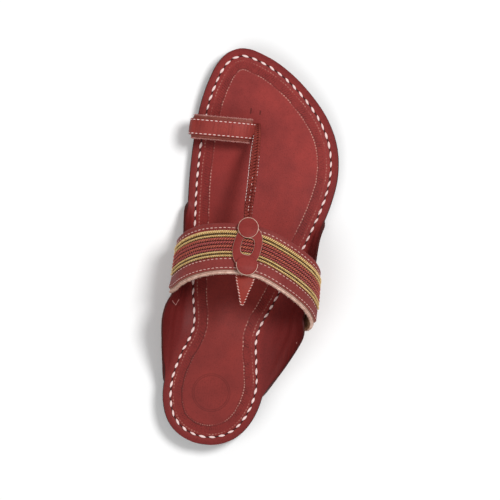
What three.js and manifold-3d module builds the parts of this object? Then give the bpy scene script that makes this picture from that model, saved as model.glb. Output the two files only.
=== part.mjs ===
// Kolhapuri sandal for the right foot, at full size in millimetres.
// X runs across the foot with the big toe on its negative side, Y from heel to toe, Z up from the floor.
// While the pieces are made, Y = 0 is the centre of the heel seat and X = 0 the line from there to the toe post.

import * as THREE from "three";
import Module from "manifold-3d";

const wasm = await Module();
wasm.setup();

// Driving dimensions
const seatGap = 0.3; // clearance where two pieces of leather meet
const outsoleThickness = 5.2;
const outsoleSplit = 2.6; // height of the groove between the two leathers of the outsole
const grooveDepth = 0.6;
const edgeRound = 0.8;
const heelHeight = 7;
const heelBreast = 44; // front end of the heel lift
const heelBreastBow = 5;
const heelInset = 0.5; // the lift stands in from the edge of the sole
const treadStart = 104; // the forefoot is flat on the floor from here
const treadEnd = 164; // and to here
const toeSpring = 7;
const footbedThickness = 3.2;
const footbedInset = 0.5; // the outsole shows as a thin rim around the footbed
const seamInset = 5.6; // stitch line, in from the edge of the sole
const seamLeast = 0.4; // but never nearer the middle than this share of the half width
const earBend = 0.74; // share of the ear's reach at which its wall turns up
const bandThickness = 3.6;
const bandBacking = 2.2; // lower leather of the band, which shows along the rear edge
const bandSlope = 1.16; // the band's thickness straight up, over its true thickness
const bandRound = 0.8; // rounding of the front edge
const faceStep = 0.4; // run of the step down from the face leather to the backing
const bandWidth = 38;
const instepFront = 57; // height of the band over the instep, at its front edge
const instepRear = 73; // and at its rear edge
const instepRidge = 6; // the ridge of the instep, off the axis
const legClearance = 0.6; // band to ear
const legMiddle = 92; // the middle of the legs along the foot
const legTurns = [0.58, 0.79, 1]; // shares of the ear's wall that the band's legs cover
const braidWidth = 6.8;
const braidThickness = 3.6;
const braidPitch = 6.4; // length of one plait
const braidRelief = 0.35;
const braidSquareness = 0.7; // 1 is oval, 0 is square
const braidNarrowing = { head: 0.12, tail: 0.24 }; // shares of the width
const slotLength = 6;
const slotWidth = 7;
const loopWidth = 16; // the ring for the big toe, along the foot
const loopFace = 11.4; // its outer leather
const loopFaceThickness = 1.5;
const loopLiningThickness = 1.5;
const loopCrown = 0.25; // the face leather is this much fuller in its middle
const loopLip = 0.2; // the lining's edge is skived to this thickness
const loopFlare = 0.5; // and turns in by this much
const loopSpan = 45.6; // across the foot, outside
const loopRise = 19.4; // outside height
const loopCentre = { x: -16.5, along: 193 };
const loopSkew = 0.05; // forward drift of the ring toward the lateral side
const loopSquareness = 2.7;
const discThickness = 2.1;
const plateThickness = 1.4;
const leafThickness = 2;
const leafFree = 97; // behind this the leaf is no longer held by the band

// Sole outline, one row for each station along the foot.
const heelTip = { x: 1, along: -26 };
const toeTip = { x: -8.5, along: 251 };
const soleStations = [
  { along: -22.5, medial: -14.5, lateral: 16.5 },
  { along: -14, medial: -25, lateral: 27 },
  { along: 0, medial: -31, lateral: 34.5 },
  { along: 18, medial: -32, lateral: 37.6 },
  { along: 36, medial: -28.2, lateral: 35.2 },
  { along: 54, medial: -22.6, lateral: 33.2 },
  { along: 76, medial: -26, lateral: 41 },
  { along: 102, medial: -29.4, lateral: 51 },
  { along: 130, medial: -32.2, lateral: 60.4 },
  { along: 152, medial: -34.2, lateral: 66.2 },
  { along: 172, medial: -35.1, lateral: 68.2 },
  { along: 192, medial: -35, lateral: 64.8 },
  { along: 210, medial: -33.7, lateral: 55.6 },
  { along: 226, medial: -30.4, lateral: 41.2 },
  { along: 239, medial: -25.6, lateral: 24.6 },
  { along: 247, medial: -19, lateral: 9 },
];

// Ears of the footbed: where the inner side of their upper edge stands in plan, and its rise above the footbed.
const earStations = [
  { along: 12, medial: -31.4, lateral: 36.8, rise: 0 },
  { along: 24, medial: -32, lateral: 42, rise: 2.6 },
  { along: 40, medial: -34.3, lateral: 49.7, rise: 10 },
  { along: 56, medial: -36, lateral: 56.5, rise: 18 },
  { along: 66, medial: -34, lateral: 59.2, rise: 20.8 },
  { along: 76, medial: -30.9, lateral: 59.4, rise: 21.8 },
  { along: 88, medial: -29.2, lateral: 58.4, rise: 22 },
  { along: 100, medial: -28.8, lateral: 57.9, rise: 22 },
  { along: 115, medial: -29.6, lateral: 58, rise: 17.5 },
  { along: 128, medial: -31.2, lateral: 58.9, rise: 6 },
  { along: 140, medial: -32.6, lateral: 62.4, rise: 0 },
];

const flareStations = [67, 77]; // more sections where the medial ear flares behind the band

// Instep band from the medial to the lateral shoulder: plan of its front and rear edge at each place across.
const bandRows = [
  { x: -35, front: 115.5, rear: 78.3 },
  { x: -31, front: 119.7, rear: 82.7 },
  { x: -21, front: 125.2, rear: 89.2 },
  { x: -6, front: 128.6, rear: 94.4 },
  { x: 9, front: 129.6, rear: 96.3 },
  { x: 24, front: 128.6, rear: 95 },
  { x: 40, front: 123, rear: 88.7 },
  { x: 52, front: 116.9, rear: 82.2 },
  { x: 60, front: 111.6, rear: 76.4 },
  { x: 64, front: 107, rear: 72 },
];
const bandMedialLeg = { front: 112.5, rear: 76.5 };
const bandLateralLeg = { front: 103.5, rear: 67 };

// Cords laid along the band, measured from its front edge.
const bandCords = [
  { from: 5.8, to: 8.3 },
  { from: 9.5, to: 11 },
  { from: 11.5, to: 13.8 },
  { from: 14.2, to: 16.5 },
  { from: 17, to: 19.3 },
  { from: 19.7, to: 21.7 },
  { from: 22.1, to: 23.6 },
  { from: 24.9, to: 26.4 },
];
const cordRelief = 0.9;
const cordRunOut = 0.06; // share of the girth over which a cord dies away at each end
const faceLeatherEnd = 35.8; // the face leather stops here, and the backing runs on to the rear edge

// Course of the braided strap from under the front disc to the slot of the toe post.
const braidCourse = [
  { x: 10.8, along: 123, height: 58.2 },
  { x: 10.2, along: 130, height: 55 },
  { x: 9.4, along: 140, height: 50 },
  { x: 9.3, along: 155, height: 43.2 },
  { x: 8.8, along: 170, height: 36.6 },
  { x: 8.1, along: 183, height: 30 },
  { x: 7.3, along: 193, height: 24 },
  { x: 6.4, along: 200, height: 18 },
  { x: 5.8, along: 204, height: 12.4 },
  { x: 5.6, along: 205, height: 8.4 },
];

// Centre ornament: two discs, a plate with a window between them, and a leaf behind.
const frontDisc = { x: 11.2, along: 127.5, radius: 7.1 };
const rearDisc = { x: 13.8, along: 102.6, radius: 7.5 };
const plate = { x: 12.4, along: 114.8, halfWidth: 9.7, halfLength: 14.5, windowWidth: 8.8, windowLength: 11.6 };
const plateSquareness = 2.3;
const windowSquareness = 3;
const plateTurn = 0.11; // radians, clockwise from above
const leafRows = [
  { along: 103, x: 13.4, width: 11, drop: 0 },
  { along: 98, x: 13.6, width: 13.4, drop: 0 },
  { along: 94, x: 13.8, width: 13.2, drop: -0.4 },
  { along: 90, x: 13.9, width: 11.6, drop: -1.5 },
  { along: 85, x: 14, width: 8.4, drop: -2.2 },
  { along: 80, x: 14.1, width: 5.4, drop: -2.3 },
  { along: 74.6, x: 14.2, width: 2.4, drop: -1.8 },
];

// Colours of the finished leather
const redLeather = { color: 0x8c3a36, roughness: 0.55, metalness: 0 };
const darkLeather = { color: 0x6e2f2c, roughness: 0.6, metalness: 0 };
const tanLeather = { color: 0x9a6544, roughness: 0.7, metalness: 0 };

// Shared mathematics

// A smooth function through one column of a table, held level beyond its ends.
function column(rows, key, name) {
  const last = rows.length - 1;
  const slope = (i) => {
    const a = rows[Math.max(i - 1, 0)];
    const b = rows[Math.min(i + 1, last)];
    return (b[name] - a[name]) / (b[key] - a[key]);
  };
  return (value) => {
    if (value <= rows[0][key]) return rows[0][name];
    if (value >= rows[last][key]) return rows[last][name];
    const i = rows.findIndex((row, n) => n < last && value < rows[n + 1][key]);
    const span = rows[i + 1][key] - rows[i][key];
    const t = (value - rows[i][key]) / span;
    const keepStart = 2 * t ** 3 - 3 * t ** 2 + 1;
    const keepEnd = 1 - keepStart;
    const leave = (t ** 3 - 2 * t ** 2 + t) * span * slope(i);
    const arrive = (t ** 3 - t ** 2) * span * slope(i + 1);
    return keepStart * rows[i][name] + keepEnd * rows[i + 1][name] + leave + arrive;
  };
}

function easeBetween(from, to, value) {
  return THREE.MathUtils.smoothstep(value, from, to);
}

// Closed solid from rings of points. Its ends are joined to each other, or each is closed by faces across it.
function loft(rings, ends = "ladder") {
  const count = rings[0].length;
  const triangles = [];
  const joined = ends === "joined";
  const steps = joined ? rings.length : rings.length - 1;
  for (let r = 0; r < steps; r += 1) {
    const here = r * count;
    const next = ((r + 1) % rings.length) * count;
    for (let i = 0; i < count; i += 1) {
      const j = (i + 1) % count;
      triangles.push([here + i, here + j, next + j], [here + i, next + j, next + i]);
    }
  }
  if (!joined) {
    const across = (ring) => (ends === "ladder" ? ladderFaces(count) : flatFaces(ring));
    const lastRing = (rings.length - 1) * count;
    for (const [a, b, c] of across(rings[0])) triangles.push([a, c, b]);
    for (const [a, b, c] of across(rings.at(-1))) triangles.push([lastRing + a, lastRing + b, lastRing + c]);
  }
  return geometryFrom(rings.flat(), triangles);
}

// Faces across a ring whose points pair up either side of point 0 and its opposite.
function ladderFaces(count) {
  const half = count / 2;
  const faces = [[0, 1, count - 1]];
  for (let i = 1; i < half - 1; i += 1) {
    faces.push([i, i + 1, count - i - 1], [i, count - i - 1, count - i]);
  }
  faces.push([half - 1, half, half + 1]);
  return faces;
}

// Faces across a ring that lies nearly in one plane, turned the way the ring runs.
function flatFaces(ring) {
  const u = ring[ring.length >> 1].clone().sub(ring[0]).normalize();
  const spare = ring.at(-1).clone().sub(ring[0]);
  const v = spare.addScaledVector(u, -spare.dot(u)).normalize();
  const flat = ring.map((p) => new THREE.Vector2(p.dot(u), p.dot(v)));
  if (!THREE.ShapeUtils.isClockWise(flat)) return THREE.ShapeUtils.triangulateShape(flat, []);
  const last = ring.length - 1;
  const faces = THREE.ShapeUtils.triangulateShape(flat.toReversed(), []);
  return faces.map(([a, b, c]) => [last - a, last - c, last - b]);
}

function geometryFrom(points, triangles) {
  const volume = triangles.reduce((sum, [a, b, c]) => {
    return sum + points[a].dot(points[b].clone().cross(points[c]));
  }, 0);
  const ordered = volume > 0 ? triangles : triangles.map(([a, b, c]) => [a, c, b]);
  const geometry = new THREE.BufferGeometry();
  geometry.setAttribute("position", new THREE.Float32BufferAttribute(points.flatMap((p) => [p.x, p.y, p.z]), 3));
  geometry.setIndex(ordered.flat());
  return geometry;
}

function toSolid(geometry) {
  const vertProperties = new Float32Array(geometry.attributes.position.array);
  const triVerts = new Uint32Array(geometry.index.array);
  return new wasm.Manifold(new wasm.Mesh({ numProp: 3, vertProperties, triVerts }));
}

function fromSolid(solid) {
  const mesh = solid.getMesh();
  const geometry = new THREE.BufferGeometry();
  geometry.setAttribute("position", new THREE.Float32BufferAttribute(mesh.vertProperties, 3));
  geometry.setIndex([...mesh.triVerts]);
  return geometry;
}

// Sole

const outlineCurve = new THREE.CatmullRomCurve3(
  [
    new THREE.Vector3(heelTip.x, heelTip.along, 0),
    ...soleStations.map((row) => new THREE.Vector3(row.medial, row.along, 0)),
    new THREE.Vector3(toeTip.x, toeTip.along, 0),
    ...soleStations.toReversed().map((row) => new THREE.Vector3(row.lateral, row.along, 0)),
  ],
  true,
  "centripetal",
);
const outlineSamples = outlineCurve.getPoints(680);
const outlineHalf = outlineSamples.length >> 1;
const outlineSides = {
  [-1]: outlineSamples.slice(0, outlineHalf + 1),
  [1]: outlineSamples.slice(outlineHalf).toReversed(),
};

// Edge of the sole on one side at a place along the foot; side is -1 medial, 1 lateral.
function soleEdge(side, along) {
  const path = outlineSides[side];
  const i = path.findIndex((p, n) => n > 0 && p.y >= along);
  if (i < 1) return toeTip.x;
  const share = (along - path[i - 1].y) / (path[i].y - path[i - 1].y);
  return THREE.MathUtils.lerp(path[i - 1].x, path[i].x, share);
}

// Underside of the outsole: raised on the heel, flat under the forefoot, sprung at the toe.
function soleBase(along) {
  const shank = heelHeight * (1 - easeBetween(heelBreast, treadStart, along));
  const spring = Math.max(0, (along - treadEnd) / (toeTip.along - treadEnd));
  return shank + toeSpring * spring ** 2;
}

function footbedTop(along) {
  return soleBase(along) + outsoleThickness + seatGap + footbedThickness;
}

// Stations from one end to the other, closest together at the rounded ends.
function roundedStations(from, to, count) {
  const middle = (from + to) / 2;
  const half = (to - from) / 2;
  return Array.from({ length: count + 1 }, (_, i) => middle - half * Math.cos((Math.PI * i) / count));
}

// Ring of plan points moved in from its edge.
function insetRing(plan, inset) {
  return plan.map((p, i) => {
    const before = plan.at(i - 1);
    const after = plan[(i + 1) % plan.length];
    const inward = new THREE.Vector3(after.y - before.y, before.x - after.x, 0).normalize();
    return p.clone().addScaledVector(inward, inset);
  });
}

const edgePoint = (side, along) => new THREE.Vector3(soleEdge(side, along), along, 0);
const midPoint = (along) => edgePoint(-1, along).lerp(edgePoint(1, along), 0.5);
const endMargin = 0.06; // keeps the tips in by this much, so that no face there has zero size

function makeOutsole() {
  const alongs = roundedStations(heelTip.along + endMargin, toeTip.along - endMargin, 44);
  const inner = alongs.slice(1, -1);
  const plan = [
    midPoint(alongs[0]),
    ...inner.map((y) => edgePoint(-1, y)),
    midPoint(alongs.at(-1)),
    ...inner.toReversed().map((y) => edgePoint(1, y)),
  ];
  const sideSteps = [
    { inset: edgeRound, up: 0 },
    { inset: 0, up: edgeRound },
    { inset: 0, up: outsoleSplit - grooveDepth / 2 },
    { inset: grooveDepth, up: outsoleSplit },
    { inset: 0, up: outsoleSplit + grooveDepth / 2 },
    { inset: 0, up: outsoleThickness - edgeRound / 2 },
    { inset: edgeRound / 2, up: outsoleThickness },
  ];
  return loft(sideSteps.map(({ inset, up }) => {
    return insetRing(plan, inset).map((p) => p.setZ(soleBase(p.y) + up));
  }));
}

// Stacked heel lift: the rear of the sole outline, closed by a bowed breast.
function makeHeelLift() {
  const straight = [22, 33, heelBreast];
  const rounded = roundedStations(heelTip.along + endMargin, 3 * heelBreast, 36).filter((y) => y < 18);
  const alongs = [...rounded.slice(1), ...straight];
  const medial = alongs.map((y) => edgePoint(-1, y));
  const lateral = alongs.map((y) => edgePoint(1, y));
  const breast = [0.04, 0.2, 0.4, 0.6, 0.8, 0.96].map((share) => {
    const bow = heelBreastBow * 4 * share * (1 - share);
    return medial.at(-1).clone().lerp(lateral.at(-1), share).setY(heelBreast + heelInset - bow);
  });
  const plan = [midPoint(rounded[0]), ...medial, ...breast, ...lateral.toReversed()];
  const sideSteps = [
    { inset: edgeRound, up: 0 },
    { inset: 0, up: edgeRound },
    { inset: 0, up: (heelHeight - grooveDepth) / 2 },
    { inset: grooveDepth, up: heelHeight / 2 },
    { inset: 0, up: (heelHeight + grooveDepth) / 2 },
    { inset: 0, up: heelHeight - seatGap },
  ];
  return loft(sideSteps.map(({ inset, up }) => {
    return insetRing(plan, heelInset + inset).map((p) => p.setZ(up));
  }), "flat");
}

// Footbed with its ears

const earEdge = { [-1]: column(earStations, "along", "medial"), [1]: column(earStations, "along", "lateral") };
const earRise = column(earStations, "along", "rise");
const earsStart = earStations[0].along;
const earsEnd = earStations.at(-1).along;

// Upper edge of the footbed's leather on one side: the ear's where there is one, else the rim of the sole.
function leatherEdge(side, along) {
  const rim = soleEdge(side, along) - side * footbedInset;
  if (along <= earsStart || along >= earsEnd) return rim;
  return earEdge[side](along);
}

function seamLine(side, along) {
  const edge = soleEdge(side, along);
  const middle = (soleEdge(-1, along) + soleEdge(1, along)) / 2;
  const reach = Math.abs(edge - middle);
  return middle + side * Math.max(reach - seamInset, reach * seamLeast);
}

// A point of the footbed's leather between the seam (turn 0) and its upper edge (turn 1), at a depth below
// its upper face. The wall leaves the seam level and turns up toward the edge.
function wallPoint(side, along, turn, depth) {
  const seam = seamLine(side, along);
  const edge = leatherEdge(side, along);
  const rise = earRise(along);
  const bendX = THREE.MathUtils.lerp(seam, edge, earBend);
  const left = 1 - turn;
  const x = left * left * seam + 2 * left * turn * bendX + turn * turn * edge;
  const z = footbedTop(along) + rise * turn * turn;
  const dx = 2 * left * (bendX - seam) + 2 * turn * (edge - bendX);
  const dz = 2 * turn * rise;
  const outward = new THREE.Vector2(side * Math.abs(dz), -Math.abs(dx)).normalize();
  return new THREE.Vector3(x + outward.x * depth, along, z + outward.y * depth);
}

function footbedSection(along) {
  const turns = [1, 0.86, 0.7, 0.52, 0.34, 0.16, 0];
  const flats = [0.2, 0.4, 0.6, 0.8];
  const across = (depth) => {
    const medial = turns.map((turn) => wallPoint(-1, along, turn, depth));
    const lateral = turns.toReversed().map((turn) => wallPoint(1, along, turn, depth));
    const flat = flats.map((share) => medial.at(-1).clone().lerp(lateral[0], share));
    return [...medial, ...flat, ...lateral];
  };
  return [...across(0), ...across(footbedThickness).toReversed()];
}

function makeFootbed() {
  const even = roundedStations(heelTip.along + footbedInset, toeTip.along - footbedInset, 42);
  const alongs = [...even, ...flareStations].sort((a, b) => a - b);
  const sheet = loft(alongs.map(footbedSection), "flat");
  return fromSolid(toSolid(sheet).subtract(toSolid(makeSlot())));
}

// Space for the toe post, right through the footbed.
function makeSlot() {
  const post = braidCourse.at(-1);
  const level = (height) => [[-1, -1], [1, -1], [1, 1], [-1, 1]].map(([side, end]) => {
    return new THREE.Vector3(post.x + (side * slotWidth) / 2, post.along + (end * slotLength) / 2, height);
  });
  const top = footbedTop(post.along);
  return loft([level(top - 2 * footbedThickness), level(top + 2 * footbedThickness)], "flat");
}

// Upper: instep band, braided strap and toe ring

const legDepth = footbedThickness + legClearance + bandThickness;
const bandSpring = footbedTop(legMiddle) + earRise(legMiddle);
const bandShoulder = {
  [-1]: wallPoint(-1, legMiddle, 1, legDepth).x,
  [1]: wallPoint(1, legMiddle, 1, legDepth).x,
};

// Height of the arch over the instep, for a strap whose ridge is at a given height.
function archHeight(x, ridge) {
  const shoulder = bandShoulder[x < instepRidge ? -1 : 1];
  const share = (x - instepRidge) / (shoulder - instepRidge);
  return bandSpring + (ridge - bandSpring) * Math.sqrt(Math.max(0, 1 - share * share));
}

// Line across the band's outer face, a share of the way from its front to its rear edge: up the medial leg,
// which lies on the ear, over the instep and down the lateral leg.
function bandLine(back) {
  const between = (row) => THREE.MathUtils.lerp(row.front, row.rear, back);
  const ridge = THREE.MathUtils.lerp(instepFront, instepRear, back);
  const medialLeg = legTurns.map((turn) => wallPoint(-1, between(bandMedialLeg), turn, legDepth));
  const arch = bandRows.map((row) => new THREE.Vector3(row.x, between(row), archHeight(row.x, ridge)));
  const lateralLeg = legTurns.toReversed().map((turn) => wallPoint(1, between(bandLateralLeg), turn, legDepth));
  return new THREE.CatmullRomCurve3([...medialLeg, ...arch, ...lateralLeg]);
}

// Point of the band's outer face: girth runs 0 to 1 from the medial to the lateral end, back 0 to 1 from the
// front to the rear edge. Lift is measured out from the face.
function bandPoint(girth, back, lift) {
  const line = bandLine(back);
  const point = line.getPoint(girth);
  const nearby = bandLine(back + 0.02).getPoint(girth);
  const normal = nearby.sub(point).cross(line.getTangent(girth)).normalize();
  return point.addScaledVector(normal, lift);
}

// Height of the band's outer face over a place in plan, found by stepping to it along the face.
function bandHeight(x, along) {
  let girth = 0.5;
  let back = 0.5;
  const step = 0.004;
  for (let i = 0; i < 8; i += 1) {
    const here = bandPoint(girth, back, 0);
    const byGirth = bandPoint(girth + step, back, 0).sub(here).divideScalar(step);
    const byBack = bandPoint(girth, back + step, 0).sub(here).divideScalar(step);
    const missX = x - here.x;
    const missY = along - here.y;
    const scale = byGirth.x * byBack.y - byGirth.y * byBack.x;
    girth += (missX * byBack.y - missY * byBack.x) / scale;
    back += (byGirth.x * missY - byGirth.y * missX) / scale;
  }
  return bandPoint(girth, back, 0).z;
}

function makeBand() {
  const girthSteps = 38;
  const profile = [{ at: 0, lift: -bandRound }, { at: bandRound, lift: 0 }];
  for (const { from, to } of bandCords) {
    profile.push({ at: from, lift: 0 }, { at: (from + to) / 2, lift: cordRelief }, { at: to, lift: 0 });
  }
  profile.push({ at: faceLeatherEnd, lift: 0 });
  profile.push({ at: faceLeatherEnd + faceStep, lift: bandBacking - bandThickness });
  profile.push({ at: bandWidth, lift: bandBacking - bandThickness });
  const inner = [bandWidth, faceLeatherEnd, 22, 10, 0].map((at) => ({ at, lift: -bandThickness }));
  const rings = Array.from({ length: girthSteps + 1 }, (_, i) => {
    const girth = i / girthSteps;
    const fade = easeBetween(0, cordRunOut, Math.min(girth, 1 - girth));
    return [...profile, ...inner].map(({ at, lift }) => {
      return bandPoint(girth, at / bandWidth, lift > 0 ? lift * fade : lift);
    });
  });
  return loft(rings, "flat");
}

// Strap plaited of strips: the two halves of its face rise by turns.
function makeBraid() {
  const course = braidCourse.map((p) => new THREE.Vector3(p.x, p.along, p.height));
  const path = new THREE.CatmullRomCurve3(course);
  const steps = 56;
  const length = path.getLength();
  const sides = 10;
  const rings = Array.from({ length: steps + 1 }, (_, i) => {
    const share = i / steps;
    const centre = path.getPointAt(share);
    const forward = path.getTangentAt(share);
    const side = new THREE.Vector3(1, 0, 0).addScaledVector(forward, -forward.x).normalize();
    const up = side.clone().cross(forward);
    const plain = Math.max(1 - easeBetween(0, 0.08, share), easeBetween(0.84, 0.92, share));
    const head = braidNarrowing.head * (1 - easeBetween(0, 0.12, share));
    const taper = 1 - head - braidNarrowing.tail * easeBetween(0.8, 1, share);
    return Array.from({ length: sides }, (__, k) => {
      const angle = (2 * Math.PI * (k + 0.5)) / sides;
      const across = Math.cos(angle);
      const phase = (2 * Math.PI * share * length) / braidPitch + (across > 0 ? Math.PI : 0);
      const swell = braidRelief * Math.sin(phase) * (1 - plain);
      const rise = Math.sin(angle);
      const x = Math.sign(across) * Math.abs(across) ** braidSquareness * ((braidWidth / 2) * taper + swell);
      const z = Math.sign(rise) * Math.abs(rise) ** braidSquareness * (braidThickness / 2 + swell);
      return centre.clone().addScaledVector(side, x).addScaledVector(up, z);
    });
  });
  return loft(rings);
}

// Ring for the big toe: a lined strap bent into a flattened loop that stands on the footbed.
function makeToeLoop() {
  const steps = 40;
  const thickness = loopFaceThickness + loopLiningThickness;
  const section = [
    { y: -loopWidth / 2, out: loopLip },
    { y: -loopFace / 2 - loopLip, out: loopLiningThickness },
    { y: -loopFace / 2, out: thickness },
    { y: 0, out: thickness + loopCrown },
    { y: loopFace / 2, out: thickness },
    { y: loopFace / 2 + loopLip, out: loopLiningThickness },
    { y: loopWidth / 2, out: loopLip },
    { y: loopWidth / 2, out: -loopFlare },
    { y: 0, out: 0 },
    { y: -loopWidth / 2, out: -loopFlare },
  ];
  const halfSpan = loopSpan / 2 - thickness - loopCrown;
  const halfRise = loopRise / 2 - thickness - loopCrown;
  const rings = Array.from({ length: steps }, (_, i) => {
    const angle = (2 * Math.PI * i) / steps;
    const power = 2 / loopSquareness;
    const x = halfSpan * Math.sign(Math.cos(angle)) * Math.abs(Math.cos(angle)) ** power;
    const z = halfRise * Math.sign(Math.sin(angle)) * Math.abs(Math.sin(angle)) ** power;
    const outward = new THREE.Vector2(
      Math.sign(x) * (Math.abs(x) / halfSpan) ** (loopSquareness - 1) / halfSpan,
      Math.sign(z) * (Math.abs(z) / halfRise) ** (loopSquareness - 1) / halfRise,
    ).normalize();
    return section.map(({ y, out }) => {
      const px = loopCentre.x + x + outward.x * out;
      const along = loopCentre.along + y + (px - loopCentre.x) * loopSkew;
      const pz = footbedTop(along) + seatGap + loopRise / 2 + z + outward.y * out;
      return new THREE.Vector3(px, along, pz);
    });
  });
  return loft(rings, "joined");
}

function makeUpper() {
  const straps = [makeBand(), makeBraid(), makeToeLoop()].map(toSolid);
  return fromSolid(straps.reduce((joined, strap) => joined.add(strap)));
}

// Centre ornament, laid over the band's own face

const cordTop = bandSlope * cordRelief + 1.5 * seatGap; // up from the band's face, clear of its cords

function ovalPlan(centre, halfWidth, halfLength, turn, points, squareness = 2) {
  const power = 2 / squareness;
  return Array.from({ length: points }, (_, i) => {
    const angle = (2 * Math.PI * i) / points - Math.PI / 2;
    const x = halfWidth * Math.sign(Math.cos(angle)) * Math.abs(Math.cos(angle)) ** power;
    const y = halfLength * Math.sign(Math.sin(angle)) * Math.abs(Math.sin(angle)) ** power;
    const turned = new THREE.Vector2(x, y).rotateAround(new THREE.Vector2(), -turn);
    return { x: centre.x + turned.x, along: centre.along + turned.y };
  });
}

function overBand(plan, lift) {
  return plan.map(({ x, along }) => new THREE.Vector3(x, along, bandHeight(x, along) + lift));
}

// Domed disc; its levels are shares of the radius and of the thickness.
function makeDisc(disc) {
  const base = cordTop + plateThickness + seatGap;
  const levels = [
    { reach: 0.3, height: 0 },
    { reach: 0.7, height: 0 },
    { reach: 1, height: 0 },
    { reach: 1, height: 0.62 },
    { reach: 0.92, height: 0.86 },
    { reach: 0.6, height: 1 },
  ];
  return loft(levels.map(({ reach, height }) => {
    const radius = reach * disc.radius;
    return overBand(ovalPlan(disc, radius, radius, 0, 24), base + height * discThickness);
  }));
}

function makePlate() {
  const shares = [0, 0.5, 1];
  const rings = (lift) => shares.map((share) => {
    const width = THREE.MathUtils.lerp(plate.halfWidth, plate.windowWidth / 2, share);
    const length = THREE.MathUtils.lerp(plate.halfLength, plate.windowLength / 2, share);
    const squareness = THREE.MathUtils.lerp(plateSquareness, windowSquareness, share);
    return overBand(ovalPlan(plate, width, length, plateTurn, 32, squareness), lift);
  });
  return loft([...rings(cordTop), ...rings(cordTop + plateThickness).toReversed()], "joined");
}

// Pointed leaf, held under the band's rear edge and free behind it.
function makeLeaf() {
  const under = bandThickness * bandSlope + seatGap;
  const rings = leafRows.map(({ along, x, width, drop }) => {
    const held = Math.max(along, leafFree);
    const point = (share, depth) => {
      const px = x + share * width;
      const z = bandHeight(px, held) - under - drop - depth;
      return new THREE.Vector3(px, along, z);
    };
    const across = [-0.5, 0, 0.5];
    const top = across.map((share) => point(share, 0));
    const bottom = across.toReversed().map((share) => point(share, leafThickness));
    return [...top, ...bottom];
  });
  return loft(rings, "flat");
}

// Assembly

function piece(name, geometry, finish) {
  const flat = geometry.toNonIndexed();
  flat.computeVertexNormals();
  const mesh = new THREE.Mesh(flat, new THREE.MeshStandardMaterial(finish));
  mesh.name = name;
  return mesh;
}

const sandal = new THREE.Group();
sandal.add(
  piece("heel_lift", makeHeelLift(), tanLeather),
  piece("outsole", makeOutsole(), darkLeather),
  piece("footbed", makeFootbed(), redLeather),
  piece("upper", makeUpper(), redLeather),
  piece("ornament_plate", makePlate(), redLeather),
  piece("disc_front", makeDisc(frontDisc), redLeather),
  piece("disc_rear", makeDisc(rearDisc), redLeather),
  piece("leaf_tongue", makeLeaf(), redLeather),
);

// The origin is the middle of the sandal's footprint, on the floor.
const extent = new THREE.Box3().setFromObject(sandal);
const middle = extent.getCenter(new THREE.Vector3());
sandal.position.set(-middle.x, -middle.y, -extent.min.z);

export default sandal;
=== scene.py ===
import math
import bpy
import numpy as np
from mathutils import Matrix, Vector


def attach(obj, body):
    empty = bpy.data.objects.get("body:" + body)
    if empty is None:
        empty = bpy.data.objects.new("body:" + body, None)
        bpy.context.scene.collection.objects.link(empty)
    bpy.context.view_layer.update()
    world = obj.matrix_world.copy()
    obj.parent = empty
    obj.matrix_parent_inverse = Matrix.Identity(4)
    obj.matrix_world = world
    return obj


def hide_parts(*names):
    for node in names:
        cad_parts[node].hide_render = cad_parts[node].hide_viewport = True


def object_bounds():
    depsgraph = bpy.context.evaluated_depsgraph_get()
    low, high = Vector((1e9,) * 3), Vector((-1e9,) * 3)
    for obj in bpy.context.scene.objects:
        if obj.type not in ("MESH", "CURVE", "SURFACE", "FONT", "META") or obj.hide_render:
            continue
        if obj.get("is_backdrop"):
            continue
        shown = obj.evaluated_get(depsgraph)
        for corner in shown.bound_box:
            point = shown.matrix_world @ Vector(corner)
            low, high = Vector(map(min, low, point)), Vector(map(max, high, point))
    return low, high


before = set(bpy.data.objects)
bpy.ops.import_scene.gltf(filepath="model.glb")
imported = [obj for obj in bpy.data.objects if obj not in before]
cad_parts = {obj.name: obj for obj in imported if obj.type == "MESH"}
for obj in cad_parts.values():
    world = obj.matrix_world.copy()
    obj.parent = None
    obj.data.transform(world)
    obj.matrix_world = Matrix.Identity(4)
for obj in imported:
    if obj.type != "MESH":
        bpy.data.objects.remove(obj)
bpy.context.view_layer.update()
print("frame loaded")

# Everything below is worked out in the shoe's own millimetres: y from the heel seat to the toe,
# x out to the little toe, z up from the floor. The frame's origin is the middle of the footprint.
shoeShift = np.array((-14.466, -112.5, 0.0))
rng = np.random.default_rng(7)


def rowSpace(points):
    return (np.asarray(points, float) + shoeShift) / 1000


def srgb(code):
    parts = [int(code[i:i + 2], 16) / 255 for i in (0, 2, 4)]
    return tuple(c / 12.92 if c <= 0.04045 else ((c + 0.055) / 1.055) ** 2.4 for c in parts) + (1.0,)


# One node with its settings and inputs; an input is a value, another node's socket, or a node for its first socket
def put(tree, kind, inputs=None, **settings):
    made = tree.nodes.new(kind)
    for key, value in settings.items():
        setattr(made, key, value)
    for key, value in (inputs or {}).items():
        value = value.outputs[0] if isinstance(value, bpy.types.Node) else value
        if isinstance(value, bpy.types.NodeSocket):
            tree.links.new(value, made.inputs[key])
        else:
            made.inputs[key].default_value = value
    return made


# Every piece rides on the one body; node is the CAD solid that it stands for
def seat(obj, node=None):
    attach(obj, "root")
    if node:
        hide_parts(node)


# Leathers, threads and cords

def newMaterial(name):
    material = bpy.data.materials.new(name)
    material.use_nodes = True
    tree = material.node_tree
    return material, tree, tree.nodes["Principled BSDF"]


# Masks laid over one another; each is a value or a socket
def overlap(tree, mask, *others):
    for other in others:
        mask = put(tree, "ShaderNodeMath", {0: mask, 1: other}, operation="MULTIPLY")
    return mask


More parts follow.
